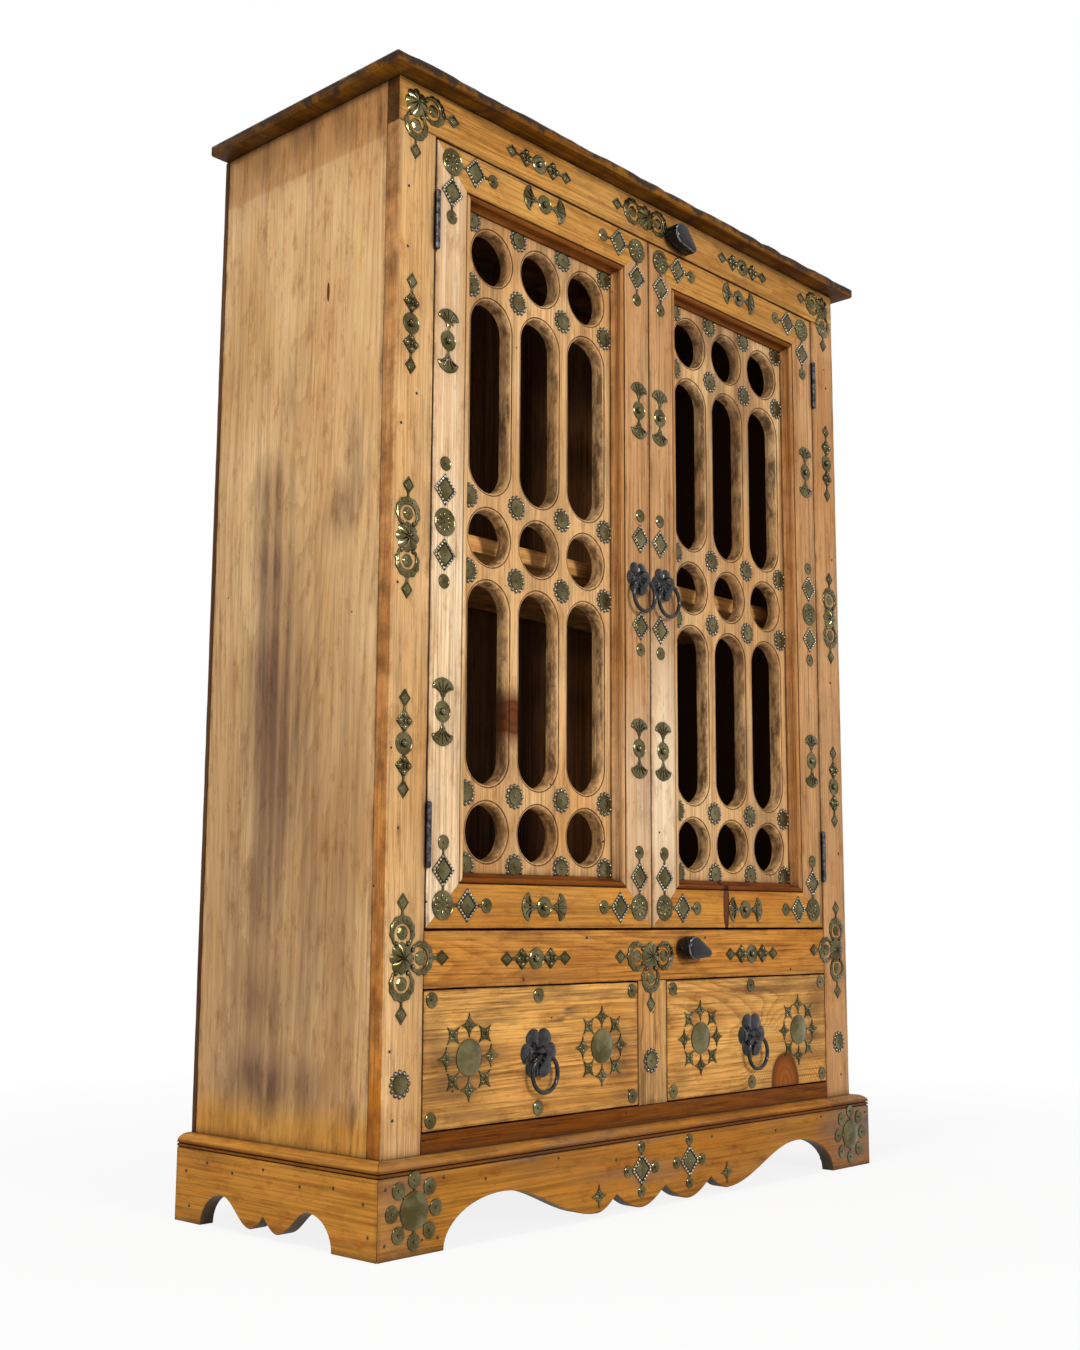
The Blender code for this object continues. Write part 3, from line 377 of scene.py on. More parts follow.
def pine(name, grain, middle, half, seed, tone, ring=0.007, contrast=0.6, weather=0.35, knots=(),
         stains=(), face="Y", fibres=0.5, knot_tone=KNOT_BROWN, knot_edge=0.90, stain_tone=STAIN_BROWN,
         tilt=0.05, pith=None, finish_more=None):
    """Old waxed pine: growth rings cut by the face, fibres, knots, stains, and grime with painted shade
    in the corners.

    grain is the axis that the fibres follow. Each knot is (along, across, half length, half width) from
    the middle of the board, and each stain the same with a strength after it.
    """
    wood = Finish(name)
    place = wood.texture_place()
    turn = Euler(GRAIN_TURN[grain]).to_matrix()
    local = wood.mapped(place, -(turn @ Vector(middle)), GRAIN_TURN[grain])
    seeded = wood.total(local, [seed * step for step in SEED_STEPS])
    wide, deep = (0, 1) if face == "Y" else (1, 0)

    # Slow bends of the trunk, stretched along the grain, then small waves
    bend = wood.wander(seeded, "bend", BEND_SIZE)
    wave = wood.wander(seeded, "wave", WAVE_SIZE)
    core = [0.0, 0.0, 0.0]
    core[wide], core[deep] = pith or heart_of(seed)
    lean = wood.pointing(deep, wood.times(wood.parts(local)["Z"], tilt))
    rings_at = wood.total(local, bend, wave, core, lean)

    # Knots push the rings aside
    knot_marks = []
    for knot in knots:
        away = ellipse_share(wood, local, wide, knot, wood.scaled(wave, KNOT_WAVE))
        swelling = wood.math("SUBTRACT", 1.0, wood.divided(away, KNOT_REACH), True)
        push = wood.times(wood.math("POWER", swelling, 2.0), knot[3] * KNOT_PUSH)
        rings_at = wood.total(rings_at, wood.pointing(deep, push))
        rings = wood.ramp(wood.math("FRACT", wood.times(away, KNOT_RINGS)), (0.45, 0.0), (0.9, 0.45))
        rim = wood.highest(rings, wood.ramp(away, (0.45, 0.0), (0.95, 1.0)))
        knot_marks.append((wood.ramp(away, (knot_edge, 1.0), (1.0, 0.0)), rim))

    saw = wood.add("ShaderNodeTexWave", {"Vector": rings_at, "Scale": RING_WAVE / ring, **RING_NOISE},
                   wave_type="RINGS", rings_direction="Z", wave_profile="SAW").outputs["Fac"]
    late = wood.times(wood.ramp(saw, *RING_STOPS), wood.patches(seeded, "fade"))
    late = wood.times(late, contrast)
    ring_dark = tuple(part * share for part, share in zip(tone, LATE_WOOD))
    colour = wood.mix(late, tone, ring_dark)
    colour = wood.tinted(colour, wood.mix(wood.patches(seeded, "warmth"), WARM_PALE, WARM_DEEP))
    fibre = wood.layer(seeded, "fibre")
    dark, pale = 1.0 - fibres * FIBRE_DARK, 1.0 + fibres * FIBRE_PALE
    colour = wood.tinted(colour, wood.ramp(fibre, (0.32, dark), (0.52, 1.0), (0.70, pale)))

    # Handling, water and old polish leave grey-brown clouds drawn out along the grain
    cloud = wood.layer(seeded, "cloud")
    colour = wood.mix(wood.times(wood.ramp(cloud, *PATCHES["cloud"]), weather), colour, STAIN_GREY)
    streak = wood.layer(seeded, "streak")
    streaks = wood.times(wood.ramp(streak, *PATCHES["streak"]), min(1.0, weather * STREAK_SHARE))
    colour = wood.mix(streaks, colour, ring_dark)
    torn = wood.wander(seeded, "torn", TORN_SIZE)
    for *ellipse, strength in stains:
        away = ellipse_share(wood, local, wide, ellipse, torn)
        soak = wood.times(wood.ramp(away, (0.25, 1.0), (1.0, 0.0)), strength)
        grainy = wood.times(soak, wood.ramp(streak, (0.36, 0.45), (0.60, 1.0)))
        colour = wood.mix(grainy, colour, stain_tone)
    colour = wood.tinted(colour, SCUFF_TINT, wood.times(wood.patches(seeded, "scuff"), SCUFF_SHARE))
    knot_dark = tuple(part * KNOT_SHADE for part in knot_tone)
    for heart, rim in knot_marks:
        colour = wood.mix(heart, colour, wood.mix(rim, knot_tone, knot_dark))

    worm = wood.add("ShaderNodeTexVoronoi", {"Vector": seeded, "Scale": WORM_SCALE}).outputs["Distance"]
    holes = wood.ramp(worm, (0.020, 1.0), (0.034, 0.0))
    colour = wood.mix(holes, colour, GRIME_AND_SHADE)
    reach = [abs(part) for part in turn @ Vector(half)]
    colour = soiled_and_shaded(wood, colour, local, seeded, reach, wide)
    if finish_more:
        colour = finish_more(wood, colour, place, seeded)

    height = wood.minus(wood.times(fibre, FIBRE_HEIGHT), wood.times(late, RING_DEPTH))
    wood.bump(wood.minus(height, wood.times(holes, WORM_DEPTH)), *WOOD_BUMP)
    gloss = wood.ramp(cloud, (0.30, 0.40), (0.70, 0.58))
    wood.surface(Base_Color=colour, Roughness=gloss, Specular_IOR_Level=WAX_SHINE)
    return wood.material


# Hooks that finish single boards

BAND_HEIGHT = 0.108
BAND_FOOT = TOP - BAND_HEIGHT
BAND_FADE = 10 * MM
FOOT_RISE = 0.10
BACK_PLANKS = 7
PLANK_WIDTH = 2 * BACK_HALF / BACK_PLANKS
PLANK_GAP = 0.8 * MM
QUIRK_Z = 0.1035
FRAME_FLAT = 62.0
ARRIS_DEPTH = 20 * MM
ARRIS_RAGGED = 2.6


def side_finish(wood, colour, place, seeded):
    """Painted shade inside; outside, a darker band under the top and amber polish along the foot."""
    here = wood.parts(place)
    above = wood.divided(wood.minus(here["Z"], BAND_FOOT), BAND_FADE)
    colour = wood.tinted(colour, BAND_TINT, wood.ramp(above, (0.2, 0.0), (0.8, 1.0)))
    rise = wood.divided(wood.minus(here["Z"], PLINTH_TOP), FOOT_RISE)
    colour = wood.tinted(colour, FOOT_TINT, wood.ramp(rise, (0.30, 1.0), (0.75, 0.0)))
    # Painted shade: the inner face takes the dark inner pine
    inside = wood.math("LESS_THAN", wood.math("ABSOLUTE", here["X"]), HALF_WIDTH - SKIN)
    return wood.mix(inside, colour, SHADED_INNER_PINE)


def returned(tint, low_tint):
    """A hook that tints the faces turned to the sides, one way at the top and another at the foot."""
    def paint(wood, colour, place, seeded):
        turned = wood.ramp(wood.facing("X"), (0.6, 0.0), (0.9, 1.0))
        rise = wood.ramp(wood.divided(wood.parts(place)["Z"], TOP), (0.15, 0.0), (0.75, 1.0))
        share = wood.times(turned, wood.patches(seeded, "return"))
        return wood.tinted(colour, wood.mix(rise, low_tint, tint), share)

    return paint


def worn_under(axis, inner_face):
    """A hook that leaves the plinth's sawn edges and inner face bare and grey, dark with painted shade,
    and tints the reeds darker; its face looks along axis.
    """
    def paint(wood, colour, place, seeded):
        here = wood.parts(place)
        low = wood.math("LESS_THAN", here["Z"], QUIRK_Z - SKIN)
        cut = wood.times(wood.ramp(wood.facing(axis), (0.25, 0.9), (0.5, 0.0)), low)
        inner = wood.math("LESS_THAN", wood.math("ABSOLUTE", here[axis]), inner_face + SKIN)
        above = wood.divided(wood.minus(here["Z"], QUIRK_Z), PLINTH_TOP - QUIRK_Z)
        reeds = wood.ramp(above, (0.0, 0.0), (0.02, 1.0), (0.45, 0.9), (0.65, 0.0))
        # Partly painted shade: the sawn edges below the quirk and the inner face take the dark grey
        return wood.mix(wood.highest(cut, inner), wood.tinted(colour, REED_TINT, reeds), UNDER_GREY_AND_SHADE)

    return paint


def framed(axis, outer, inward, tint):
    """A hook that darkens the moulding along the inner edge of a door's frame member."""
    def paint(wood, colour, place, seeded):
        across = wood.minus(wood.parts(place)[axis], outer)
        share = wood.times(across, inward / (2 * FRAME_FLAT * MM))
        return wood.tinted(colour, tint, wood.ramp(share, (0.50, 0.0), (0.515, 1.0)))

    return paint


def stained_rims(wood, colour, place, seeded):
    """The cut edges of the grille have taken dark polish in patches."""
    rim = wood.ramp(wood.facing("Y"), (0.60, 1.0), (0.985, 0.0))
    return wood.mix(wood.times(rim, wood.patches(seeded, "rim")), colour, RIM_BROWN)


def planked(wood, colour, place, seeded):
    """Each plank of the back has a tone of its own; the inside keeps a dark tone painted as shade, and
    the outer face is lifted to a paler one.
    """
    here = wood.parts(place)
    plank = wood.math("FLOOR", wood.divided(wood.math("ADD", here["X"], BACK_HALF), PLANK_WIDTH))
    chance = wood.add("ShaderNodeTexWhiteNoise", {"W": plank}, noise_dimensions="1D").outputs["Value"]
    colour = wood.tinted(colour, wood.mix(chance, PLANK_DARK, PLANK_PALE))
    return wood.tinted(colour, BACK_OUTSIDE_LIFT, wood.math("GREATER_THAN", here["Y"], BACK - SKIN))


def dark_edges(wood, colour, place, seeded):
    """Blotched on the ends and below, where the underside is also darkened as painted shade, and nearly
    black with pale chips along the arris.
    """
    turned = wood.ramp(wood.facing("X"), (0.6, 0.0), (0.9, 0.80))
    # Painted shade: faces that look down are darkened along with the ends
    downward = wood.times(wood.parts(wood.texture_place("Normal"))["Z"], -1.0)
    hidden = wood.highest(turned, wood.ramp(downward, (0.5, 0.0), (0.9, 0.75)))
    colour = wood.mix(wood.times(hidden, wood.patches(seeded, "blotch")), colour, END_BROWN_AND_UNDER_SHADE)
    depth = wood.divided(wood.minus(TOP, wood.parts(place)["Z"]), ARRIS_DEPTH)
    waver = wood.times(wood.minus(wood.layer(seeded, "arris"), 0.5), ARRIS_RAGGED)
    ragged = wood.math("ADD", depth, waver)
    colour = wood.mix(wood.ramp(ragged, (0.30, 0.95), (0.72, 0.0)), colour, ARRIS_BLACK)
    chips = wood.times(wood.patches(seeded, "chip"), wood.ramp(depth, (0.05, 1.0), (0.40, 0.0)))
    return wood.mix(chips, colour, CHIP_TAN)


# Metal and dark hardwood

METAL_CREVICE = 3 * MM
METAL_BUMP = (0.15, 0.3 * MM)
METAL_PATCHES = (4.0, 0.6)
FINE_GRAIN = 6.0
FINE_DETAIL = 3.0
RUBBED_GLOSS = 0.7
BRASS_BLACK = (0.008, 0.006, 0.003)
PITCH_BLACK = (0.002, 0.002, 0.002)


def metal(name, dull, bright, recess_and_shade, metallic, rough, grain, wall_shade=0.0, shine=0.5):
    """Patinated metal: rubbed bright in places, with patina and painted shade in the recesses, and dirt
    with painted shade on the walls of its relief.
    """
    skin = Finish(name)
    place = skin.texture_place()
    patch = skin.noise(place, grain, *METAL_PATCHES).outputs["Fac"]
    colour = skin.mix(skin.ramp(patch, (0.40, 0.0), (0.66, 1.0)), dull, bright)
    if wall_shade:
        # Painted shade, with some dirt: walls of the relief that turn away from the front take the
        # recess colour
        wall = skin.ramp(skin.facing("Y"), (0.25, 1.0), (0.80, 0.0))
        colour = skin.mix(skin.times(wall, wall_shade), colour, recess_and_shade)
    # Patina in the hollows, and painted shade: ambient occlusion darkens the crevices
    shut = skin.ramp(skin.crevices(METAL_CREVICE), (0.10, 0.0), (0.45, 1.0))
    colour = skin.mix(shut, colour, recess_and_shade)
    skin.bump(skin.noise(place, grain * FINE_GRAIN, FINE_DETAIL).outputs["Fac"], *METAL_BUMP)
    gloss = skin.ramp(patch, (0.3, rough), (0.7, rough * RUBBED_GLOSS))
    skin.surface(Base_Color=colour, Roughness=gloss, Metallic=metallic, Specular_IOR_Level=shine)
    return skin.material


BRASS = metal("old_brass", (0.080, 0.061, 0.017), (0.190, 0.160, 0.074), BRASS_BLACK,
              metallic=0.85, rough=0.22, grain=32.0, wall_shade=0.95)
# Partly painted highlight: pale brass on the pearls, rubbed bright and standing in for their glints
RUBBED_HIGHLIT_BRASS = metal("rubbed_highlit_brass", (0.22, 0.185, 0.105), (0.62, 0.57, 0.42), (0.02, 0.015, 0.008),
                     metallic=0.3, rough=0.22, grain=40.0)
# Partly painted shade: near-black brass on the lozenge borders and pearl settings, patina and shade
# around the pearls
BLACK_SHADED_BRASS = metal("black_shaded_brass", (0.022, 0.016, 0.008), (0.060, 0.046, 0.020), BRASS_BLACK,
                    metallic=0.3, rough=0.35, grain=60.0)
IRON = metal("black_iron", (0.010, 0.009, 0.009), (0.040, 0.036, 0.038), PITCH_BLACK,
             metallic=0.1, rough=0.16, grain=60.0, shine=0.30)
STEEL = metal("hinge_steel", (0.026, 0.025, 0.029), (0.15, 0.15, 0.165), (0.006, 0.006, 0.006),
              metallic=0.85, rough=0.20, grain=120.0)
EBONY = metal("dark_hardwood", (0.004, 0.004, 0.005), (0.010, 0.010, 0.011), PITCH_BLACK,
              metallic=0.0, rough=0.14, grain=90.0, shine=0.28)
# Partly painted highlight: pale hardwood on the button's rounded front edge, worn and standing in for
# its glint
WORN_HIGHLIT_EBONY = metal("rubbed_highlit_hardwood", (0.015, 0.014, 0.014), (0.20, 0.18, 0.16), (0.004, 0.004, 0.004),
                   metallic=0.0, rough=0.30, grain=150.0)

# Places of the finishes of a piece's marked faces, after its own
# Rubbed bright, partly a painted highlight
RUBBED_AND_HIGHLIT = 1
# Blackened, partly painted shade
BLACKENED_AND_SHADED = 2


# Mesh helpers


def skin_loops(build, loops, closed=True):
    """Join loops of points into a skin, closed over its ends, and return its bands of faces."""
    rows = [[build.verts.new(point) for point in loop] for loop in loops]
    count = len(rows[0])
    steps = [(index, (index + 1) % count) for index in range(count)]
    bands = []
    for lower, upper in zip(rows, rows[1:]):
        corners = [(lower[here], lower[after], upper[after], upper[here]) for here, after in steps]
        bands.append([build.faces.new(four) for four in corners])
    if closed:
        build.faces.new(rows[0])
        bands[-1].append(build.faces.new(rows[-1]))
    return bands


def mark(bands, finish):
    """Give bands of faces another finish of their piece."""
    for band in bands:
        for side in band:
            side.material_index = finish


def baked(build, name):
    """A mesh made of a bmesh, which is freed."""
    mesh = bpy.data.meshes.new(name)
    build.to_mesh(mesh)
    build.free()
    return mesh


def placed(name, data):
    """A new object in the scene."""
    holder = bpy.data.objects.new(name, data)
    bpy.context.scene.collection.objects.link(holder)
    return holder


def finish_piece(build, name, material, body, slot, sharp=35.0, more=()):
    """Turn a bmesh into a piece that rides on a body; more are the finishes of its marked faces."""
    bmesh.ops.recalc_face_normals(build, faces=build.faces)
    mesh = baked(build, name)
    mesh.shade_smooth()
    mesh.set_sharp_from_angle(angle=math.radians(sharp))
    for finish in (material, *more):
        mesh.materials.append(finish)
    piece = placed(name, mesh)
    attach(piece, body)
    return piece


def stand_in(build, node, word, material, body, slot, *more):
    """A finished piece in place of a plain node."""
    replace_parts(finish_piece(build, f"{node}_{word}", material, body, slot, *more), node)


def block(build, middle, size):
    """Add a plain box."""
    matrix = Matrix.Translation(middle) @ Matrix.Diagonal((*size, 1.0))
    return bmesh.ops.create_cube(build, size=1.0, matrix=matrix)


def trim_plane(build, point, normal):
    """Cut away what lies beyond a plane and close the cut."""
    everything = build.verts[:] + build.edges[:] + build.faces[:]
    bmesh.ops.bisect_plane(build, geom=everything, dist=WELD, plane_co=point, plane_no=normal,
                           clear_outer=True)
    open_edges = [edge for edge in build.edges if edge.is_boundary]
    bmesh.ops.holes_fill(build, edges=open_edges, sides=0)


def turns(steps, start=0.0):
    """Even angles around a full turn; start is a share of a step."""
    return [2 * math.pi * (index + start) / steps for index in range(steps)]


def stadium(radius, half_straight, steps):
    """Points of a circle stretched along its second axis by a straight run."""
    points = []
    for angle in turns(steps, 0.5):
        stretch = half_straight if angle < math.pi else -half_straight
        points.append((radius * math.cos(angle), radius * math.sin(angle) + stretch))
    return points


def arc(middle, radii, start, end, steps):
    """Points of an ellipse's arc between two angles in degrees."""
    points = []
    for index in range(steps + 1):
        angle = math.radians(start + (end - start) * index / steps)
        points.append((middle[0] + radii[0] * math.cos(angle), middle[1] + radii[1] * math.sin(angle)))
    return points


def inset(outline, distance):
    """Move each point of an outline inwards along the mean of its edges' normals."""
    area = sum(a[0] * b[1] - b[0] * a[1] for a, b in zip(outline, outline[1:] + outline[:1]))
    turn = 1.0 if area > 0 else -1.0
    moved = []
    for index, point in enumerate(outline):
        before = Vector(outline[index - 1])
        after = Vector(outline[(index + 1) % len(outline)])
        here = Vector(point)
        first = (here - before).normalized()
        second = (after - here).normalized()
        normal = Vector((-(first.y + second.y), first.x + second.x)) * turn
        if normal.length > WELD:
            normal = normal.normalized()
        moved.append(tuple(here + normal * distance))
    return moved


# Boards

EDGE_ROUND = 1.6 * MM
EDGE_WEAR = 0.9 * MM
EDGE_SEGMENTS = 3
CUT_PITCH = 0.022
WEAR_SCALE = 24.0
CHIP_SCALE = 70.0
CHIP_START = 0.25
CHIP_SHARE = 0.8


def linked(verts, kind):
    """The edges or faces at some vertices, each once and in order."""
    return list(dict.fromkeys(item for vert in verts for item in getattr(vert, kind)))


def worn_box(build, low, high, seed, edge=EDGE_ROUND, wear=EDGE_WEAR):
    """Add a board whose edges are rounded and unevenly worn."""
    size = high - low
    middle = (low + high) / 2
    corners = block(build, middle, size)["verts"]
    long_axis = max(range(3), key=lambda axis: size[axis])
    edges = linked(corners, "link_edges")
    rounded = bmesh.ops.bevel(build, geom=edges, offset=edge, segments=EDGE_SEGMENTS, profile=0.5,
                              affect="EDGES")
    verts = dict.fromkeys(vert for vert in corners + rounded["verts"] if vert.is_valid)
    normal = Vector([1.0 if axis == long_axis else 0.0 for axis in range(3)])
    count = max(2, round(size[long_axis] / CUT_PITCH))
    for index in range(1, count):
        point = low + normal * size[long_axis] * index / count
        geom = [*verts, *linked(verts, "link_edges"), *linked(verts, "link_faces")]
        cut = bmesh.ops.bisect_plane(build, geom=geom, dist=WELD, plane_co=point, plane_no=normal)
        verts.update((item, None) for item in cut["geom_cut"] if isinstance(item, bmesh.types.BMVert))
    for vert in verts:
        depths = sorted(min(vert.co[axis] - low[axis], high[axis] - vert.co[axis]) for axis in range(3))
        if depths[1] < edge:
            rough = noise.noise(vert.co * WEAR_SCALE + Vector((seed, 0.0, 0.0)))
            chip = noise.noise(vert.co * CHIP_SCALE + Vector((0.0, seed, 0.0)))
            share = max(0.0, rough) + CHIP_SHARE * max(0.0, chip - CHIP_START)
            inward = middle - vert.co
            inward[long_axis] = 0.0
            inward = Vector([math.copysign(1.0, part) if abs(part) > WELD else 0.0 for part in inward])
            vert.co += inward * wear * share


def board(node, body, material, seed, slot="honey_pine", edge=EDGE_ROUND, wear=EDGE_WEAR):
    """A worn board in place of a plain one."""
    low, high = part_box(node)
    build = bmesh.new()
    worn_box(build, low, high, seed, edge, wear)
    stand_in(build, node, "worn", material, body, slot)


def node_middle(node):
    """The middle of a node's box."""
    low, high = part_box(node)
    return (low + high) / 2


def pine_for(node, grain, seed, tone, **more):
    """A pine finish set out from the middle of a node."""
    low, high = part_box(node)
    return pine(f"pine_{node}", grain, node_middle(node), (high - low) / 2, seed, tone, **more)


# Carcass

# Stains on the side panels, as depth, height, half length, half width and strength
SIDE_STAINS = (
    (0.060, 0.76, 0.24, 0.085, 1.00),
    (0.035, 0.64, 0.18, 0.050, 0.85),
    (0.075, 1.07, 0.09, 0.060, 0.75),
    (0.070, 0.96, 0.09, 0.065, 0.85),
    (0.045, 1.22, 0.12, 0.030, 0.45),
    (0.055, 0.50, 0.12, 0.040, 0.60),
    (-0.172, 1.19, 0.05, 0.020, 0.55),
    (-0.118, 1.09, 0.13, 0.030, 0.65),
    (-0.085, 1.01, 0.07, 0.040, 0.65),
    (0.040, 0.205, 0.060, 0.160, 0.95),
    (0.060, 0.31, 0.10, 0.100, 0.55),
    (-0.130, 0.185, 0.04, 0.014, 0.90),
    (0.000, 0.50, 0.64, 0.280, 0.50),
    (-0.060, 1.625, 0.060, 0.035, 0.75),
    (0.030, 1.635, 0.050, 0.045, 0.75),
    (-0.150, 1.590, 0.050, 0.018, 0.60),
    (0.130, 1.630, 0.045, 0.050, 0.60),
)
SIDE_KNOTS = ((0.50, -0.066, 0.016, 0.003),)
SIDE_GRAIN = dict(ring=0.013, contrast=0.42, weather=0.22, fibres=0.20, tilt=-0.13, pith=(-0.048, 0.10),
                  knots=SIDE_KNOTS, stain_tone=PATINA, face="X", finish_more=side_finish)
RAIL_STAINS = (
    (-0.40, 0.0, 0.20, 0.03, 1.0),
    (-0.12, 0.004, 0.24, 0.020, 1.0),
    (0.12, 0.008, 0.14, 0.012, 0.9),
    (0.36, 0.0, 0.10, 0.012, 0.9),
)
STILE_RETURN = returned(RETURN_TAN, RETURN_AMBER)
RAIL_RETURN = returned(END_SHADE, END_SHADE)

# Boards of the face frame: node, grain, seed, tone and what else its finish has
FACE_BOARDS = (
    ("left_front_stile", "Z", 1.0, PALE_PINE,
     dict(ring=0.012, contrast=0.35, weather=0.3, fibres=0.36, finish_more=STILE_RETURN)),
    # Partly painted shade: the right stile takes the darker TAN_PINE, as less light reaches the right
    # side
    ("right_front_stile", "Z", 2.0, TAN_PINE,
     dict(ring=0.012, contrast=0.3, weather=0.3, fibres=0.32, finish_more=STILE_RETURN)),
    ("top_rail", "X", 3.0, HONEY_PINE, dict(ring=0.009, contrast=0.4, finish_more=RAIL_RETURN)),
    ("middle_rail", "X", 4.0, RAIL_PINE, dict(ring=0.007, contrast=0.65)),
    ("bottom_rail", "X", 5.0, DARK_PINE,
     dict(ring=0.010, contrast=0.9, weather=0.1, stains=RAIL_STAINS, stain_tone=EDGE_BROWN)),
)
INNER_BOARDS = (("drawer_deck", "X"), ("cupboard_floor", "X"), ("left_drawer_guide", "Y"),
                ("right_drawer_guide", "Y"))
SIDE_SEED = 6.0
INNER_SEED = 10.0
BACK_SEED = 12.0
SHELF_SEED = 16.0
TOP_SEED = 17.0
TOP_ROUNDING = 4 * MM
TOP_WEAR = 3 * MM


def dress_carcass():
    """Face frame, side panels, inner boards, planked back and the top board."""
    for node, grain, seed, tone, more in FACE_BOARDS:
        board(node, "carcass", pine_for(node, grain, seed, tone, **more), seed)
    for side, sign in SIDES:
        node = f"{side}_side_panel"
        middle = node_middle(node)
        stains = [(z - middle.z, y - middle.y, *more) for y, z, *more in SIDE_STAINS]
        seed = SIDE_SEED + sign
        finish = pine_for(node, "Z", seed, SIDE_PINE, **SIDE_GRAIN, stains=stains)
        board(node, "carcass", finish, seed)
    # Painted shade: the inner boards take the dark inner pine
    for index, (node, grain) in enumerate(INNER_BOARDS):
        seed = INNER_SEED + index
        board(node, "carcass", pine_for(node, grain, seed, SHADED_INNER_PINE, face="X"), seed, "inner_pine")
    # Painted light: the shelf takes a paler pine than the inside around it
    board("shelf", "carcass", pine_for("shelf", "X", SHELF_SEED, LIT_SHELF_PINE), SHELF_SEED, "inner_pine")
    low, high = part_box("back_panel")
    build = bmesh.new()
    for index in range(BACK_PLANKS):
        start = Vector((low.x + index * PLANK_WIDTH, low.y, low.z))
        end = Vector((start.x + PLANK_WIDTH - PLANK_GAP, high.y, high.z))
        worn_box(build, start, end, BACK_SEED + index)
    # Painted shade: the back is dark pine, and planked lifts its outer face
    finish = pine_for("back_panel", "Z", BACK_SEED, SHADED_BACK_PINE, weather=0.6, finish_more=planked)
    stand_in(build, "back_panel", "planked", finish, "carcass", "inner_pine")
    finish = pine_for("cornice_board", "X", TOP_SEED, TOP_PINE, weather=0.6, finish_more=dark_edges)
    board("cornice_board", "carcass", finish, TOP_SEED, edge=TOP_ROUNDING, wear=TOP_WEAR)


# Drawers

GUIDE_HALF = 15 * MM
DRAWER_SEED = 21.0
POST_SEED = 25.0
DRAWER_KNOTS = {"left": (), "right": ((0.100, 0.088, 0.044, 0.054),)}
DRAWER_STAINS = {
    "left": ((-0.17, 0.02, 0.11, 0.07, 0.75), (0.10, -0.08, 0.16, 0.016, 0.95),
             (0.19, 0.03, 0.05, 0.08, 0.7), (-0.05, -0.085, 0.08, 0.012, 0.8),
             (-0.10, -0.062, 0.10, 0.008, 0.9), (0.06, -0.050, 0.07, 0.006, 0.9),
             (0.03, 0.085, 0.10, 0.010, 0.6), (-0.21, -0.04, 0.03, 0.06, 0.6)),
    "right": ((0.05, -0.075, 0.16, 0.014, 0.7), (0.15, 0.02, 0.06, 0.06, 0.6),
              (0.10, 0.075, 0.07, 0.05, 0.55), (-0.15, -0.060, 0.06, 0.006, 0.8),
              (0.20, -0.02, 0.04, 0.09, 0.6), (-0.20, 0.05, 0.04, 0.05, 0.5)),
}
POST_STAINS = ((-0.07, 0.0, 0.07, 0.05, 0.5), (-0.03, 0.008, 0.09, 0.006, 0.9),
               (0.02, -0.016, 0.07, 0.005, 0.8), (-0.06, -0.02, 0.05, 0.010, 0.6))

# Parts of a drawer's box, with the axes of their grain and face
DRAWER_PARTS = (("left_side", "Y", "X"), ("right_side", "Y", "X"), ("back", "X", "Y"),
                ("bottom", "X", "Y"))
SEED_STEP = 0.3


def dress_drawers():
    """Drawer boxes, and the post between them with its guide board."""
    for side, sign in SIDES:
        body = f"{side}_drawer"
        node = f"{side}_drawer_front"
        seed = DRAWER_SEED + sign
        finish = pine_for(node, "X", seed, DRAWER_PINE, ring=0.006, contrast=0.85, weather=0.6,
                          knots=DRAWER_KNOTS[side], stains=DRAWER_STAINS[side], knot_tone=KNOT_RED)
        board(node, body, finish, seed)
        for part, grain, face in DRAWER_PARTS:
            node = f"{side}_drawer_{part}"
            seed += SEED_STEP
            board(node, body, pine_for(node, grain, seed, BOX_PINE, face=face), seed, "inner_pine")
    low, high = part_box("drawer_divider")
    build = bmesh.new()
    worn_box(build, low, Vector((high.x, POST_BACK, high.z)), POST_SEED)
    guide_low, guide_high = Vector((-GUIDE_HALF, POST_BACK, low.z)), Vector((GUIDE_HALF, high.y, high.z))
    worn_box(build, guide_low, guide_high, POST_SEED + 1.0)
    finish = pine_for("drawer_divider", "Z", POST_SEED, POST_PINE, contrast=0.8, weather=0.5,
                      stains=POST_STAINS)
    stand_in(build, "drawer_divider", "worn", finish, "carcass", "honey_pine")


# Doors, with the sizes of their mouldings in millimetres

FRAME_BACK = (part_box("left_door_hinge_stile")[1].y - FRONT) / MM
PANEL_DEPTH = (GRILLE_FACE - FRONT) / MM
PANEL_PLAY = 0.3
FRAME_EDGE_ROUND = 1.6
QUIRK_WIDTH = 1.0
QUIRK_DEPTH = 3.4
BEAD_RADIUS = 4.2
BEAD_LIFT = 0.3
BEAD_FOOT = 9.0
COVE_FILLET = 1.2
COVE_DEPTH = 9.4
COVE_HEIGHT = 7.0
COVE_EDGE = 0.6
MOULDING_EDGE = 78.0
MOULDING_DEPTH = 16.8
REBATE_EDGE = 68.0
FRAME_CUTS = 28
MITRE_GAP = 0.2 * MM
WAVER = 0.3 * MM
WAVER_ALONG = 16.0
WAVER_ACROSS = 30.0
DOOR_GRAIN = dict(ring=0.009, contrast=0.45, fibres=0.42)
DOOR_SEED = 40.0
DOOR_SEED_STEP = 5.0
GRILLE_SEED = 33.0

# Stains on the stiles, with the tone of each
STILE_MARKS = {
    "left_door_hinge_stile": (((0.42, 0.0, 0.46, 0.14, 1.0),), TAN_PINE),
    "left_door_meeting_stile": (((-0.38, 0.0, 0.22, 0.12, 0.4),), BONE_PINE),
    "right_door_meeting_stile": (((-0.34, 0.0, 0.30, 0.12, 0.85),), BONE_PINE),
}
DOOR_KNOTS = {"right_door_bottom_rail": ((-0.048, 0.0, 0.009, 0.046),)}


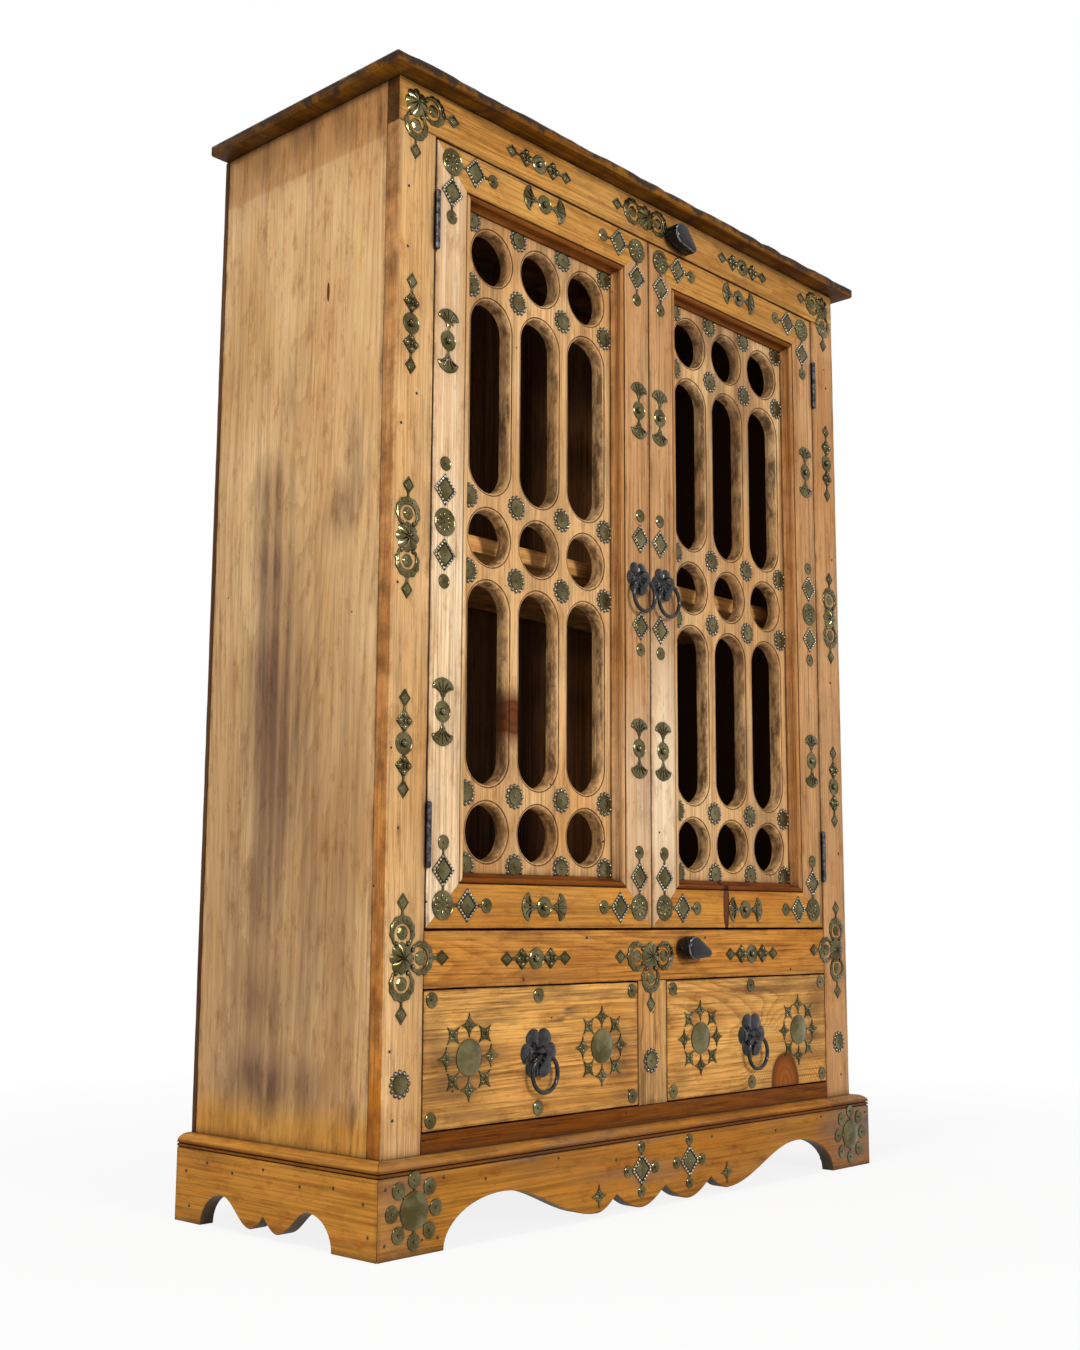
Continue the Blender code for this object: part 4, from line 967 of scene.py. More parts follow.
def frame_section():
    """Distance from a frame member's outer edge, and depth: flat, quirk, bead, cove and rebate."""
    edge = FRAME_EDGE_ROUND
    quirk = FRAME_FLAT + QUIRK_WIDTH
    bead_end = quirk + 2 * BEAD_RADIUS
    cove_start, cove_end = bead_end + COVE_FILLET, MOULDING_EDGE - COVE_EDGE
    panel = PANEL_DEPTH - PANEL_PLAY
    points = [(0.0, FRAME_BACK)]
    points += arc((edge, edge), (edge, edge), 180, 270, 3)
    points += arc((FRAME_FLAT - QUIRK_WIDTH, QUIRK_WIDTH), (QUIRK_WIDTH, QUIRK_WIDTH), 270, 360, 3)
    points.append((FRAME_FLAT, QUIRK_DEPTH))
    bead_at = (quirk + BEAD_RADIUS, BEAD_RADIUS - BEAD_LIFT)
    points += arc(bead_at, (BEAD_RADIUS, BEAD_RADIUS), 180, 360, 10)
    points += [(bead_end, BEAD_FOOT), (cove_start, COVE_DEPTH)]
    points += arc((cove_end, COVE_DEPTH), (cove_end - cove_start, COVE_HEIGHT), 180, 90, 5)
    points += [(MOULDING_EDGE, MOULDING_DEPTH), (MOULDING_EDGE, panel), (REBATE_EDGE, panel)]
    points.append((REBATE_EDGE, FRAME_BACK))
    return points


def build_frame_member(node, body, material, outer, inward, middle, length, upright):
    """One mitred member: outer is the place of its outer edge, and middle the middle of its run."""
    build = bmesh.new()
    loops = []
    for cut in range(FRAME_CUTS + 1):
        share = 2.0 * cut / FRAME_CUTS - 1.0
        loop = []
        for across, depth in frame_section():
            along = middle + share * (length / 2 - across * MM - MITRE_GAP)
            side = outer + inward * across * MM
            waver = WAVER * noise.noise(Vector((along * WAVER_ALONG, side * WAVER_ACROSS, depth)))
            deep = FRONT + depth * MM + (waver if 0.0 < depth < PANEL_DEPTH - 1.0 else 0.0)
            loop.append(Vector((side, deep, along)) if upright else Vector((along, deep, side)))
        loops.append(loop)
    skin_loops(build, loops)
    stand_in(build, node, "moulded", material, body, "honey_pine")


# The grille repeats the sizes of the frame's pierced panels
HOLE_RADIUS = 40.5
RIM_RADIUS = 47.0
COLUMN_PITCH = 110.0
CIRCLE_PITCH = 440.0
SLOT_STRAIGHT = 109.0
HOLE_STEPS = 56
RIM_LIFT = 6.0
RIM_DEPTH = 12.0
RIM_QUIRK = 1.9

# Outer side of a hole's rim, as an offset from its radius and a depth
RIM_LIP = ((0.6, -RIM_LIFT), (0.6, -0.2), (0.0, 0.3), (-0.5, 2.2), (-1.3, 2.2))
GRILLE_STAINS = {
    "left": ((-0.33, -0.06, 0.06, 0.040, 0.7), (0.30, 0.10, 0.16, 0.030, 0.45),
             (0.47, 0.02, 0.06, 0.14, 0.5), (-0.52, 0.06, 0.025, 0.14, 1.0)),
    "right": ((0.38, 0.06, 0.16, 0.06, 0.6), (0.10, -0.05, 0.12, 0.03, 0.4),
              (0.47, -0.02, 0.06, 0.14, 0.6), (-0.52, 0.02, 0.025, 0.16, 0.9)),
}
GRILLE_KNOTS = {"left": ((-0.266, -0.055, 0.052, 0.060),), "right": ()}
SOFT_KNOT = 0.45
GRILLE_SHARP = 28.0


def rim_profile():
    """Hole radius and depth behind the panel's face: a small quirk, then a full round into the hole."""
    crest = RIM_RADIUS - RIM_QUIRK
    points = [(RIM_RADIUS + offset, depth) for offset, depth in RIM_LIP]
    points += arc((crest, RIM_DEPTH), (crest - HOLE_RADIUS, RIM_DEPTH - 1.0), 270, 180, 9)
    points.append((HOLE_RADIUS, PANEL_DEPTH + RIM_LIFT + FRAME_BACK))
    return points


def cut_out(build, cutter_build):
    """Cut one closed shape out of another and return the result."""
    holders = []
    for name, shape in (("blank", build), ("cutter", cutter_build)):
        bmesh.ops.recalc_face_normals(shape, faces=shape.faces)
        holders.append(placed(name, baked(shape, name)))
    blank, cutter = holders
    modifier = blank.modifiers.new("cut", "BOOLEAN")
    modifier.object = cutter
    modifier.solver = "EXACT"
    result = bmesh.new()
    result.from_object(blank, bpy.context.evaluated_depsgraph_get())
    for holder in holders:
        bpy.data.objects.remove(holder)
    return result


def build_grille(side, sign):
    """A pierced panel with three columns of round and long holes."""
    node = f"{side}_door_grille"
    low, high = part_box(node)
    middle = node_middle(node)
    blank = bmesh.new()
    block(blank, middle, high - low)
    cutter = bmesh.new()
    for column in (-1, 0, 1):
        for row in (-2, -1, 0, 1, 2):
            straight = SLOT_STRAIGHT if row % 2 else 0.0
            loops = []
            for radius, depth in rim_profile():
                flat = stadium(radius, straight, HOLE_STEPS)
                loops.append([Vector((middle.x + (column * COLUMN_PITCH + u) * MM, low.y + depth * MM,
                                      middle.z + (row * CIRCLE_PITCH / 2 + v) * MM)) for u, v in flat])
            skin_loops(cutter, loops)
    finish = pine_for(node, "Z", GRILLE_SEED + sign, ROSE_PINE, ring=0.009, contrast=0.35, weather=0.6,
                      fibres=0.35, knots=GRILLE_KNOTS[side], knot_tone=KNOT_DARK, knot_edge=SOFT_KNOT,
                      stains=GRILLE_STAINS[side], stain_tone=RED_STAIN, finish_more=stained_rims)
    pierced = cut_out(blank, cutter)
    stand_in(pierced, node, "pierced", finish, f"{side}_door", "honey_pine", GRILLE_SHARP)


def dress_doors():
    """Moulded, mitred frames around the grilles."""
    width = DOOR_FAR - DOOR_NEAR
    height = DOORS_HIGH - DOORS_LOW
    for side, sign in SIDES:
        # Partly painted shade: the right door's hinge stile takes the darker TAN_PINE, as less light
        # reaches the right side
        hinge_tone = BONE_PINE if sign < 0 else TAN_PINE
        members = (
            ("hinge_stile", "Z", sign * DOOR_FAR, -sign, DOOR_Z, height, hinge_tone),
            ("meeting_stile", "Z", sign * DOOR_NEAR, sign, DOOR_Z, height, TAN_PINE),
            ("top_rail", "X", DOORS_HIGH, -1, sign * DOOR_X, width, HONEY_PINE),
            ("bottom_rail", "X", DOORS_LOW, 1, sign * DOOR_X, width, DEEP_PINE),
        )
        for index, (member, grain, outer, inward, middle, length, tone) in enumerate(members):
            node = f"{side}_door_{member}"
            upright = grain == "Z"
            across, tint = ("X", STILE_MOULDING) if upright else ("Z", RAIL_MOULDING)
            stains, stain_tone = STILE_MARKS.get(node, ((), STAIN_BROWN))
            seed = DOOR_SEED + DOOR_SEED_STEP * sign + index
            finish = pine_for(node, grain, seed, tone, **DOOR_GRAIN, knots=DOOR_KNOTS.get(node, ()),
                              stains=stains, stain_tone=stain_tone,
                              finish_more=framed(across, outer, inward, tint))
            build_frame_member(node, f"{side}_door", finish, outer, inward, middle, length, upright)
        build_grille(side, sign)


# Plinth, which repeats the sizes of the frame's scallops

FRONT_FOOT = 0.120
FRONT_ARCH = (0.113, 0.063)
LOBE_LENGTH = 0.118
LOBE_HEIGHT = 0.004
NOTCH_HEIGHT = 0.030
LAST_LOBE = (0.045, 0.008)
SIDE_FRONT_FOOT = 0.0905
SIDE_BACK_FOOT = 0.0615
SIDE_ARCH = (0.050, 0.046)
SIDE_NOTCH = 0.029
SIDE_LOBE = (0.030, 0.009)
CURVE_STEPS = 14
REED_RADIUS = 2.3 * MM
REED_GAP = 0.8 * MM
REED_QUIRK = 3.2 * MM
TOP_ROUND = 0.019
PLINTH_EDGE = 1.2 * MM
PLINTH_SEED = 51.0
FLANK_SEED = 53.0
PLINTH_STAINS = (
    (0.545, 0.0, 0.12, 0.10, 0.95),
    (-0.56, 0.0, 0.07, 0.08, 0.5),
    (-0.05, 0.01, 0.20, 0.02, 0.5),
    (-0.25, -0.044, 0.40, 0.012, 0.6),
    (0.20, -0.044, 0.30, 0.010, 0.5),
)
PLINTH_GRAIN = dict(ring=0.014, contrast=0.35, weather=0.55, fibres=0.36)


def evenly(share):
    """Straight on."""
    return share


def fast(share):
    """Quick at first, then level."""
    return math.sin(math.pi / 2 * share)


def slow(share):
    """Level at first, then quick."""
    return 1 - math.cos(math.pi / 2 * share)


def eased(share):
    """Level at both ends."""
    return (1 - math.cos(math.pi * share)) / 2


def curve(start, end, across, up):
    """Points after start along a curve to end, which across and up ease."""
    wide, high = end[0] - start[0], end[1] - start[1]
    shares = [index / CURVE_STEPS for index in range(1, CURVE_STEPS + 1)]
    return [(start[0] + wide * across(share), start[1] + high * up(share)) for share in shares]


def lobe_flank(start, end):
    """A lobe's flank, which leaves a notch in an open V and ends level, or back again."""
    return curve(start, end, evenly, fast if end[1] < start[1] else slow)


def front_edge(half):
    """Half of the front board's lower edge, from the middle notch to the end."""
    notch = (0.0, NOTCH_HEIGHT)
    lobe = (LOBE_LENGTH / 2, LOBE_HEIGHT)
    second = (LOBE_LENGTH, NOTCH_HEIGHT)
    last = (LOBE_LENGTH + LAST_LOBE[0], LAST_LOBE[1])
    foot = (half - FRONT_FOOT, 0.0)
    arch = (foot[0] - FRONT_ARCH[0], FRONT_ARCH[1])
    points = [notch] + lobe_flank(notch, lobe) + lobe_flank(lobe, second) + lobe_flank(second, last)
    points += curve(last, arch, evenly, eased) + curve(arch, foot, fast, slow)
    return points + [(half, 0.0)]


def side_edge(middle, foot_inner):
    """Half of a side board's lower edge, from the middle notch to the inner end of a foot."""
    toward = 1 if foot_inner > middle else -1
    notch = (middle, SIDE_NOTCH)
    lobe = (middle + toward * SIDE_LOBE[0], SIDE_LOBE[1])
    arch = (foot_inner - toward * SIDE_ARCH[0], SIDE_ARCH[1])
    points = [notch] + lobe_flank(notch, lobe)
    return points + curve(lobe, arch, evenly, eased) + curve(arch, (foot_inner, 0.0), fast, slow)


def plinth_build(outline, ends):
    """A scalloped board along X with its face at Y = 0, under a moulded top edge."""
    build = bmesh.new()
    cuts = ((inset(outline, PLINTH_EDGE), 0.0), (outline, PLINTH_EDGE), (outline, PLINTH_THICK))
    skin_loops(build, [[Vector((x, depth, z)) for x, z in points] for points, depth in cuts])
    reed_top = QUIRK_Z + 2 * REED_RADIUS + REED_GAP
    round_foot = reed_top + 2 * REED_GAP
    section = [(PLINTH_THICK, QUIRK_Z), (REED_QUIRK, QUIRK_Z)]
    reed_at = (REED_RADIUS, QUIRK_Z + REED_GAP + REED_RADIUS)
    section += arc(reed_at, (REED_RADIUS, REED_RADIUS), 270, 90, 6)
    section += [(REED_QUIRK, reed_top), (REED_QUIRK, reed_top + REED_GAP)]
    section += arc((TOP_ROUND, round_foot), (TOP_ROUND, PLINTH_TOP - round_foot), 180, 90, 8)
    section.append((PLINTH_THICK, PLINTH_TOP))
    skin_loops(build, [[Vector((x, depth, z)) for depth, z in section] for x in ends])
    return build


def dress_plinth():
    """Three mitred boards."""
    half = PLINTH_HALF
    slip = 2 * MITRE_GAP
    right = front_edge(half)
    outline = [(-x, z) for x, z in reversed(right[1:])] + right + [(half, QUIRK_Z), (-half, QUIRK_Z)]
    build = plinth_build(outline, (-half, half))
    for sign in (-1, 1):
        trim_plane(build, (sign * (half - slip), 0.0, 0.0), (sign, 1.0, 0.0))
    bmesh.ops.translate(build, verts=build.verts, vec=(0.0, PLINTH_FACE, 0.0))
    finish = pine_for("plinth_front", "X", PLINTH_SEED, AMBER_PINE, **PLINTH_GRAIN, stains=PLINTH_STAINS,
                      stain_tone=FOOT_GREY, finish_more=worn_under("Y", -PLINTH_FACE - PLINTH_THICK))
    stand_in(build, "plinth_front", "moulded", finish, "carcass", "honey_pine")
    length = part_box("plinth_left")[1].y - PLINTH_FACE
    foot_back = length - SIDE_BACK_FOOT
    middle = (SIDE_FRONT_FOOT + foot_back) / 2
    lower = [(0.0, 0.0)] + side_edge(middle, SIDE_FRONT_FOOT)[:0:-1] + side_edge(middle, foot_back)
    lower.append((length, 0.0))
    for side, sign in SIDES:
        outline = [(sign * x, z) for x, z in lower] + [(sign * length, QUIRK_Z), (0.0, QUIRK_Z)]
        build = plinth_build(outline, (0.0, sign * length))
        trim_plane(build, (sign * slip, 0.0, 0.0), (-sign, 1.0, 0.0))
        bmesh.ops.rotate(build, verts=build.verts, matrix=Matrix.Rotation(sign * math.pi / 2, 3, "Z"))
        bmesh.ops.translate(build, verts=build.verts, vec=(sign * half, PLINTH_FACE, 0.0))
        node = f"plinth_{side}"
        finish = pine_for(node, "Y", FLANK_SEED + sign, FLANK_PINE, **PLINTH_GRAIN, face="X",
                          finish_more=worn_under("X", half - PLINTH_THICK))
        stand_in(build, node, "moulded", finish, "carcass", "honey_pine")


dress_carcass()
dress_drawers()
dress_doors()
dress_plinth()


# Iron and steel fittings

HINGE_LENGTH = 0.089
KNUCKLES = 5
KNUCKLE_RADIUS = 3.9 * MM
KNUCKLE_GAP = 0.2 * MM
KNUCKLE_CHAMFER = 0.3 * MM
PIN_RADIUS = 2.4 * MM
PIN_HEAD = 3.3 * MM
PIN_TIP = 1.2 * MM
PIN_DOME = (0.8, 0.4 * MM)
PIN_LIP = 0.1 * MM
LEAF_THICK = 0.9 * MM
LEAF_DEPTH = 26 * MM
LEAF_OFFSET = 0.75 * MM
ROUND_STEPS = 28


def lathe(build, axis, profile):
    """Turn (radius, height) points around an upright axis."""
    loops = []
    for radius, height in profile:
        around = [(radius * math.cos(turn), radius * math.sin(turn)) for turn in turns(ROUND_STEPS)]
        loops.append([Vector((axis.x + x, axis.y + y, height)) for x, y in around])
    skin_loops(build, loops)


def build_hinge(name, side, sign):
    """A butt hinge: two leaves with rolled knuckles and a pin with domed heads."""
    low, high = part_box(f"{name}_pin")
    axis = node_middle(f"{name}_pin")
    bottom = axis.z - HINGE_LENGTH / 2
    top = bottom + HINGE_LENGTH
    pitch = HINGE_LENGTH / KNUCKLES
    inner = KNUCKLE_RADIUS - KNUCKLE_CHAMFER
    leaves = (("frame_leaf", "carcass", 0, sign), ("door_leaf", f"{side}_door", 1, -sign))
    for leaf, body, first, outward in leaves:
        build = bmesh.new()
        for knuckle in range(first, KNUCKLES, 2):
            start = bottom + pitch * knuckle + KNUCKLE_GAP
            end = start + pitch - 2 * KNUCKLE_GAP
            lathe(build, axis, ((inner, start), (KNUCKLE_RADIUS, start + KNUCKLE_CHAMFER),
                                (KNUCKLE_RADIUS, end - KNUCKLE_CHAMFER), (inner, end)))
        middle = Vector((axis.x + outward * LEAF_OFFSET, axis.y + LEAF_DEPTH / 2, axis.z))
        block(build, middle, (LEAF_THICK, LEAF_DEPTH, HINGE_LENGTH))
        stand_in(build, f"{name}_{leaf}", "rolled", STEEL, body, "wrought_iron")
    build = bmesh.new()
    share, rise = PIN_DOME
    lathe(build, axis, ((PIN_TIP, low.z), (PIN_HEAD * share, low.z + rise), (PIN_HEAD, bottom - PIN_LIP),
                        (PIN_RADIUS, bottom), (PIN_RADIUS, top), (PIN_HEAD, top + PIN_LIP),
                        (PIN_HEAD * share, high.z - rise), (PIN_TIP, high.z)))
    stand_in(build, f"{name}_pin", "domed", STEEL, "carcass", "wrought_iron")


for hinge_side, hinge_sign in SIDES:
    for hinge_level in ("upper", "lower"):
        build_hinge(f"{hinge_side}_{hinge_level}_hinge", hinge_side, hinge_sign)


# Stamps are drawn in millimetres: u to the right, v up and w out of the face
FACE_AXES = Matrix(((1, 0, 0, 0), (0, 0, -1, 0), (0, 1, 0, 0), (0, 0, 0, 1)))
SINK = 0.05
BEAD_ANGLES = (0, 30, 58, 80)
RELIEF_MIDDLE = 0.97


def spot(x, z, turn=0.0, face=FRONT):
    """Where a stamp sits: its middle in metres and its turn in degrees."""
    place = Matrix.Translation((x, face, z)) @ FACE_AXES
    return place @ Matrix.Rotation(math.radians(turn), 4, "Z") @ Matrix.Scale(MM, 4)


def shifted(place, u, v, turn=0.0):
    """A place moved within its own face, in millimetres."""
    return place @ Matrix.Translation((u, v, 0.0)) @ Matrix.Rotation(math.radians(turn), 4, "Z")


def wheel(place, count, out=0.0):
    """A place turned to each of a number of even steps, and moved out along each."""
    return [shifted(shifted(place, 0.0, 0.0, 360.0 / count * index), 0.0, out) for index in range(count)]


def levels(build, place, loops):
    """A closed skin through (outline, height) levels of a stamp, returned as bands of faces."""
    return skin_loops(build, [[place @ Vector((u, v, height)) for u, v in outline]
                              for outline, height in loops])


def scaled_levels(build, place, outline, steps):
    """A stamp whose levels are the same outline at other sizes, returned as bands of faces."""
    sized = [([(u * size, v * size) for u, v in outline], height) for size, height in steps]
    return levels(build, place, sized)


def relief(build, place, reach, height, steps, rings):
    """A pressed boss: reach(angle) is its edge, and height(share, angle) its swell."""
    angles = turns(steps)
    loops = [[place @ Vector((reach(a) * math.cos(a), reach(a) * math.sin(a), SINK)) for a in angles]]
    for ring in range(rings + 1):
        share = 1.0 - RELIEF_MIDDLE * ring / rings
        loop = []
        for a in angles:
            out = reach(a) * share
            loop.append(place @ Vector((out * math.cos(a), out * math.sin(a), height(share, a))))
        loops.append(loop)
    skin_loops(build, loops)


def petals(count, angle):
    """1 along each of a number of petals, and 0 between them."""
    return abs(math.cos(angle * count / 2))


def swell(share, middle, width):
    """A round ridge at one share of the way out."""
    return max(0.0, 1.0 - ((share - middle) / width) ** 2)


def disc(build, place, radius, base, ridges, steps, rings):
    """A round boss; each ridge is a rise, the share of the way out where it stands and a half width."""
    def height(share, angle):
        return base + sum(rise * swell(share, middle, width) for rise, middle, width in ridges)

    relief(build, place, lambda angle: radius, height, steps, rings)


def bead(build, place, u, v, radius, base=0.0, steps=10):
    """A small round nail head or pearl, returned as bands of faces."""
    loops = []
    for angle in BEAD_ANGLES:
        turn = math.radians(angle)
        ring = stadium(radius * math.cos(turn), 0.0, steps)
        loops.append(([(u + x, v + y) for x, y in ring], base + radius * math.sin(turn)))
    return levels(build, place, [(loops[0][0], SINK)] + loops)


# Ring pulls
PETALS = 6
PULL_STEPS = (84, 10)
PULL_SHARP = 60.0
PETAL_BEAD = 1.5
PETAL_BEAD_AT = 0.36

# Points of the strap, out of the face and up, and its section in halves of its width and thickness
STRAP = ((2.0, 5.5), (6.5, 9.0), (11.5, 10.6), (16.5, 9.6), (20.5, 6.0), (22.0, 0.5), (21.2, -5.5),
         (18.0, -10.5), (14.5, -15.0), (12.0, -20.0), (10.4, -25.0), (9.6, -30.0), (9.8, -34.0))
STRAP_SECTION = ((-1, -0.6), (-1, 0.6), (0, 1.3), (1, 0.6), (1, -0.6), (0, -1.0))
STRAP_WIDTHS = (9.0, 9.5, 10.0, 10.5, 11.0, 11.0, 11.0, 12.0, 15.0, 18.5, 19.0, 15.0, 6.0)
STRAP_THICK = 1.8
STRAP_RADIUS = 37.5
STRAP_FREE = -12.0
RING_WIRE = 3.2
RING_MIDDLE = 26.8
RING_STEPS = 72
WIRE_STEPS = 14
FORGE_DEPTH = 0.05
FORGE_SCALE = 2.6


def ribbon(build, place, path, widths, thickness):
    """A bent strap: path holds (out, up) points, and widths its breadth at each."""
    loops = []
    for index, (out, up) in enumerate(path):
        before, after = path[max(0, index - 1)], path[min(len(path) - 1, index + 1)]
        along = Vector((after[0] - before[0], after[1] - before[1])).normalized()
        lift = Vector((-along.y, along.x)) * thickness / 2
        half = widths[index] / 2
        loops.append([place @ Vector((half * across, up + lift.y * side, out + lift.x * side))
                      for across, side in STRAP_SECTION])
    skin_loops(build, loops)


def build_rosette(node, body):
    """A flower plate with a curled strap."""
    low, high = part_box(f"{node}_rosette")
    radius = (high.x - low.x) / 2 / MM
    place = spot((low.x + high.x) / 2, (low.z + high.z) / 2)
    build = bmesh.new()

    def reach(angle):
        return radius * (0.76 + 0.24 * petals(PETALS, angle) ** 0.55)

    def height(share, angle):
        petal = petals(PETALS, angle) ** 0.8
        return 0.9 + 3.0 * petal * swell(share, 0.66, 0.36) + 1.6 * swell(share, 0.0, 0.34)

    relief(build, place, reach, height, *PULL_STEPS)
    for angle in turns(PETALS, 0.5):
        out = radius * PETAL_BEAD_AT
        bead(build, place, out * math.cos(angle), out * math.sin(angle), PETAL_BEAD, 1.0)
    scale = radius / STRAP_RADIUS
    path = []
    for out, up in STRAP:
        path.append((out, up if up > STRAP_FREE else STRAP_FREE + (up - STRAP_FREE) * scale))
    ribbon(build, place, path, [width * scale for width in STRAP_WIDTHS], STRAP_THICK)
    stand_in(build, f"{node}_rosette", "pressed", IRON, body, "wrought_iron", PULL_SHARP)


def build_ring(node, body, seed):
    """The ring that hangs in the strap's curl."""
    middle = node_middle(f"{node}_ring")
    build = bmesh.new()
    loops = []
    for turn in turns(RING_STEPS):
        across, up = math.cos(turn), math.sin(turn)
        forged = 1.0 + FORGE_DEPTH * noise.noise(Vector((across, up, seed)) * FORGE_SCALE)
        wire = RING_WIRE * min(1.0, forged)
        loop = []
        for around in turns(WIRE_STEPS):
            out = RING_MIDDLE + wire * math.cos(around)
            loop.append(middle + Vector((out * across, wire * math.sin(around), out * up)) * MM)
        loops.append(loop)
    skin_loops(build, loops + [loops[0]], closed=False)
    bmesh.ops.remove_doubles(build, verts=build.verts, dist=WELD)
    stand_in(build, f"{node}_ring", "forged", IRON, body, "wrought_iron")


for pull_side, pull_sign in SIDES:
    for pull_kind in ("door", "drawer"):
        pull_body = f"{pull_side}_{pull_kind}"
        build_rosette(f"{pull_body}_pull", pull_body)
        build_ring(f"{pull_body}_pull", f"{pull_body}_ring", pull_sign)


# Turn buttons, with their pivots as the frame has them
BUTTON_PIVOTS = {"top": (0.060, 1.608), "bottom": (0.078, 0.392)}
TILTS = {"top": -30.0, "bottom": -13.0}
HEAD_RADIUS = 19.0
TIP_RADIUS = 7.0
TAIL = 36.0
LEAST_TIP = 0.8
DROP_STEPS = 40

# How far in the head's outline is drawn at each height
BUTTON_LEVELS = ((2.4, 6.0), (0.7, 6.8), (0.0, 8.4), (0.0, 25.5), (0.5, 28.0), (1.7, 30.2), (3.4, 31.4),
                 (6.0, 32.0))
RUBBED_HIGHLIT_BAND = slice(4, 5)
HUB_RADIUS = 12.0
HUB_LEVELS = (0.4, 6.5)
BUTTON_NAIL = (2.0, 31.6)
BUTTON_SHARP = 40.0


def teardrop(shrink):
    """A round head that narrows along straight flanks to a small round tip."""
    lean = math.degrees(math.acos((HEAD_RADIUS - TIP_RADIUS) / TAIL))
    head, tip_round = HEAD_RADIUS - shrink, TIP_RADIUS - shrink
    points = arc((TAIL, 0.0), (tip_round, tip_round), -lean, lean, DROP_STEPS)
    return points + arc((0.0, 0.0), (head, head), lean, 360.0 - lean, DROP_STEPS)


def build_button(level):
    """A turned hub and a thick drop-shaped head."""
    node = f"{level}_turn_button"
    x, z = BUTTON_PIVOTS[level]
    place = spot(x, z, TILTS[level])
    build = bmesh.new()
    most = TIP_RADIUS - LEAST_TIP
    outlines = [(teardrop(min(shrink, most)), height) for shrink, height in BUTTON_LEVELS]
    # Partly painted highlight: the rounded front edge takes the pale hardwood
    mark(levels(build, place, outlines)[RUBBED_HIGHLIT_BAND], RUBBED_AND_HIGHLIT)
    hub = stadium(HUB_RADIUS, 0.0, ROUND_STEPS)
    levels(build, place, [(hub, height) for height in HUB_LEVELS])
    bead(build, place, 0.0, 0.0, *BUTTON_NAIL)
    stand_in(build, node, "carved", EBONY, f"{level}_button", "dark_hardwood", BUTTON_SHARP,
             (WORN_HIGHLIT_EBONY,))


for button_level in BUTTON_PIVOTS:
    build_button(button_level)


# Pressed brass

NAIL = 1.7
UP, LEFT, DOWN, RIGHT = 0.0, 90.0, 180.0, 270.0
CHAMFER = 0.6
RIB_CHAMFER = 0.3

# Levels of the stamps, as a share of the outline and a height
LOZENGE_STEPS = ((1.0, SINK), (1.0, 1.0), (0.97, 1.5), (0.80, 1.5), (0.765, 0.35), (0.70, 0.35),
                 (0.665, 1.6), (0.60, 1.9))
LOZENGE_BORDER = slice(2, 5)
SETTING_STEPS = ((1.0, SINK), (1.0, 0.6), (0.85, 1.0))
DROP_LEVELS = ((1.0, 0.4), (0.72, 0.85), (0.35, 1.0))
DROP_SWELL = 0.35
DROP_POINTS = 14

# Pearls: radius, height of their foot and number of sides
EDGE_PEARL = (2.1, 1.0, 8)
DAISY_PEARL = (1.9, 0.7, 8)
BIG_PEARL = (5.4, 0.0, 14)
END_PEARL = (3.4, 0.6, 12)
STAR_PEARL = (1.3, 2.0, 8)
PEARL_LINE = 0.885
PEARL_CIRCLE = 1.27
SETTING_RADIUS = 3.7
SETTING_POINTS = 12


def nail(build, place, base, radius=NAIL):
    """A nail head in the middle of a stamp."""
    bead(build, place, 0.0, 0.0, radius, base)


def plate(build, place, outline, thickness, chamfer=CHAMFER):
    """A flat stamp with a bevelled edge."""
    top = inset(outline, chamfer)
    levels(build, place, [(outline, SINK), (outline, thickness - chamfer), (top, thickness)])


def rib(build, place, start, end, width, height):
    """A raised line between two points of a stamp."""
    first, last = Vector(start), Vector(end)
    side = Vector((first.y - last.y, last.x - first.x)).normalized() * width / 2
    outline = [tuple(point) for point in (first - side, last - side, last + side, first + side)]
    plate(build, place, outline, height, width * RIB_CHAMFER)


def neck(build, place, start, end, width, height):
    """A rib along v, from one distance to another."""
    rib(build, place, (0.0, start), (0.0, end), width, height)


def drop(build, ray, start, end, width, rise):
    """A raised petal that points out along v."""
    middle, half = (start + end) / 2, (end - start) / 2
    loops = []
    for share, height in ((1.0, SINK), *((share, rise * part) for share, part in DROP_LEVELS)):
        outline = [(u * share * width / 2 * (1.0 + DROP_SWELL * v), middle + v * share * half)
                   for u, v in stadium(1.0, 0.0, DROP_POINTS)]
        loops.append((outline, height))
    levels(build, ray, loops)


def polar(radius, lean):
    """A point of a stamp at a distance from its middle and an angle from +v."""
    return (radius * math.sin(lean), radius * math.cos(lean))


def diamond(half_u, half_v):
    """Corners of a diamond."""
    return ((half_u, 0.0), (0.0, half_v), (-half_u, 0.0), (0.0, -half_v))


def petal_disc(build, place, radius=20.5):
    """A round boss with a rim, eight petals and a nail."""
    disc(build, place, radius, base=1.1, ridges=((0.9, 0.93, 0.08),), steps=40, rings=12)
    for ray in wheel(place, 8):
        drop(build, ray, start=radius * 0.24, end=radius * 0.82, width=radius * 0.36, rise=2.6)
    nail(build, place, base=1.0)


def small_disc(build, place, radius=10.5):
    """A saucer with one inner ring and a nail."""
    ridges = ((0.9, 0.88, 0.14), (0.5, 0.5, 0.16))
    disc(build, place, radius, base=0.9, ridges=ridges, steps=24, rings=9)
    nail(build, place, base=1.0)


def ring_disc(build, place, radius=15.5):
    """A disc of close rings around a dome."""
    ridges = ((0.9, 0.92, 0.09), (0.8, 0.68, 0.10))
    disc(build, place, radius, base=0.9, ridges=ridges, steps=32, rings=12)
    bead(build, place, 0.0, 0.0, radius * 0.36, 0.6, 16)


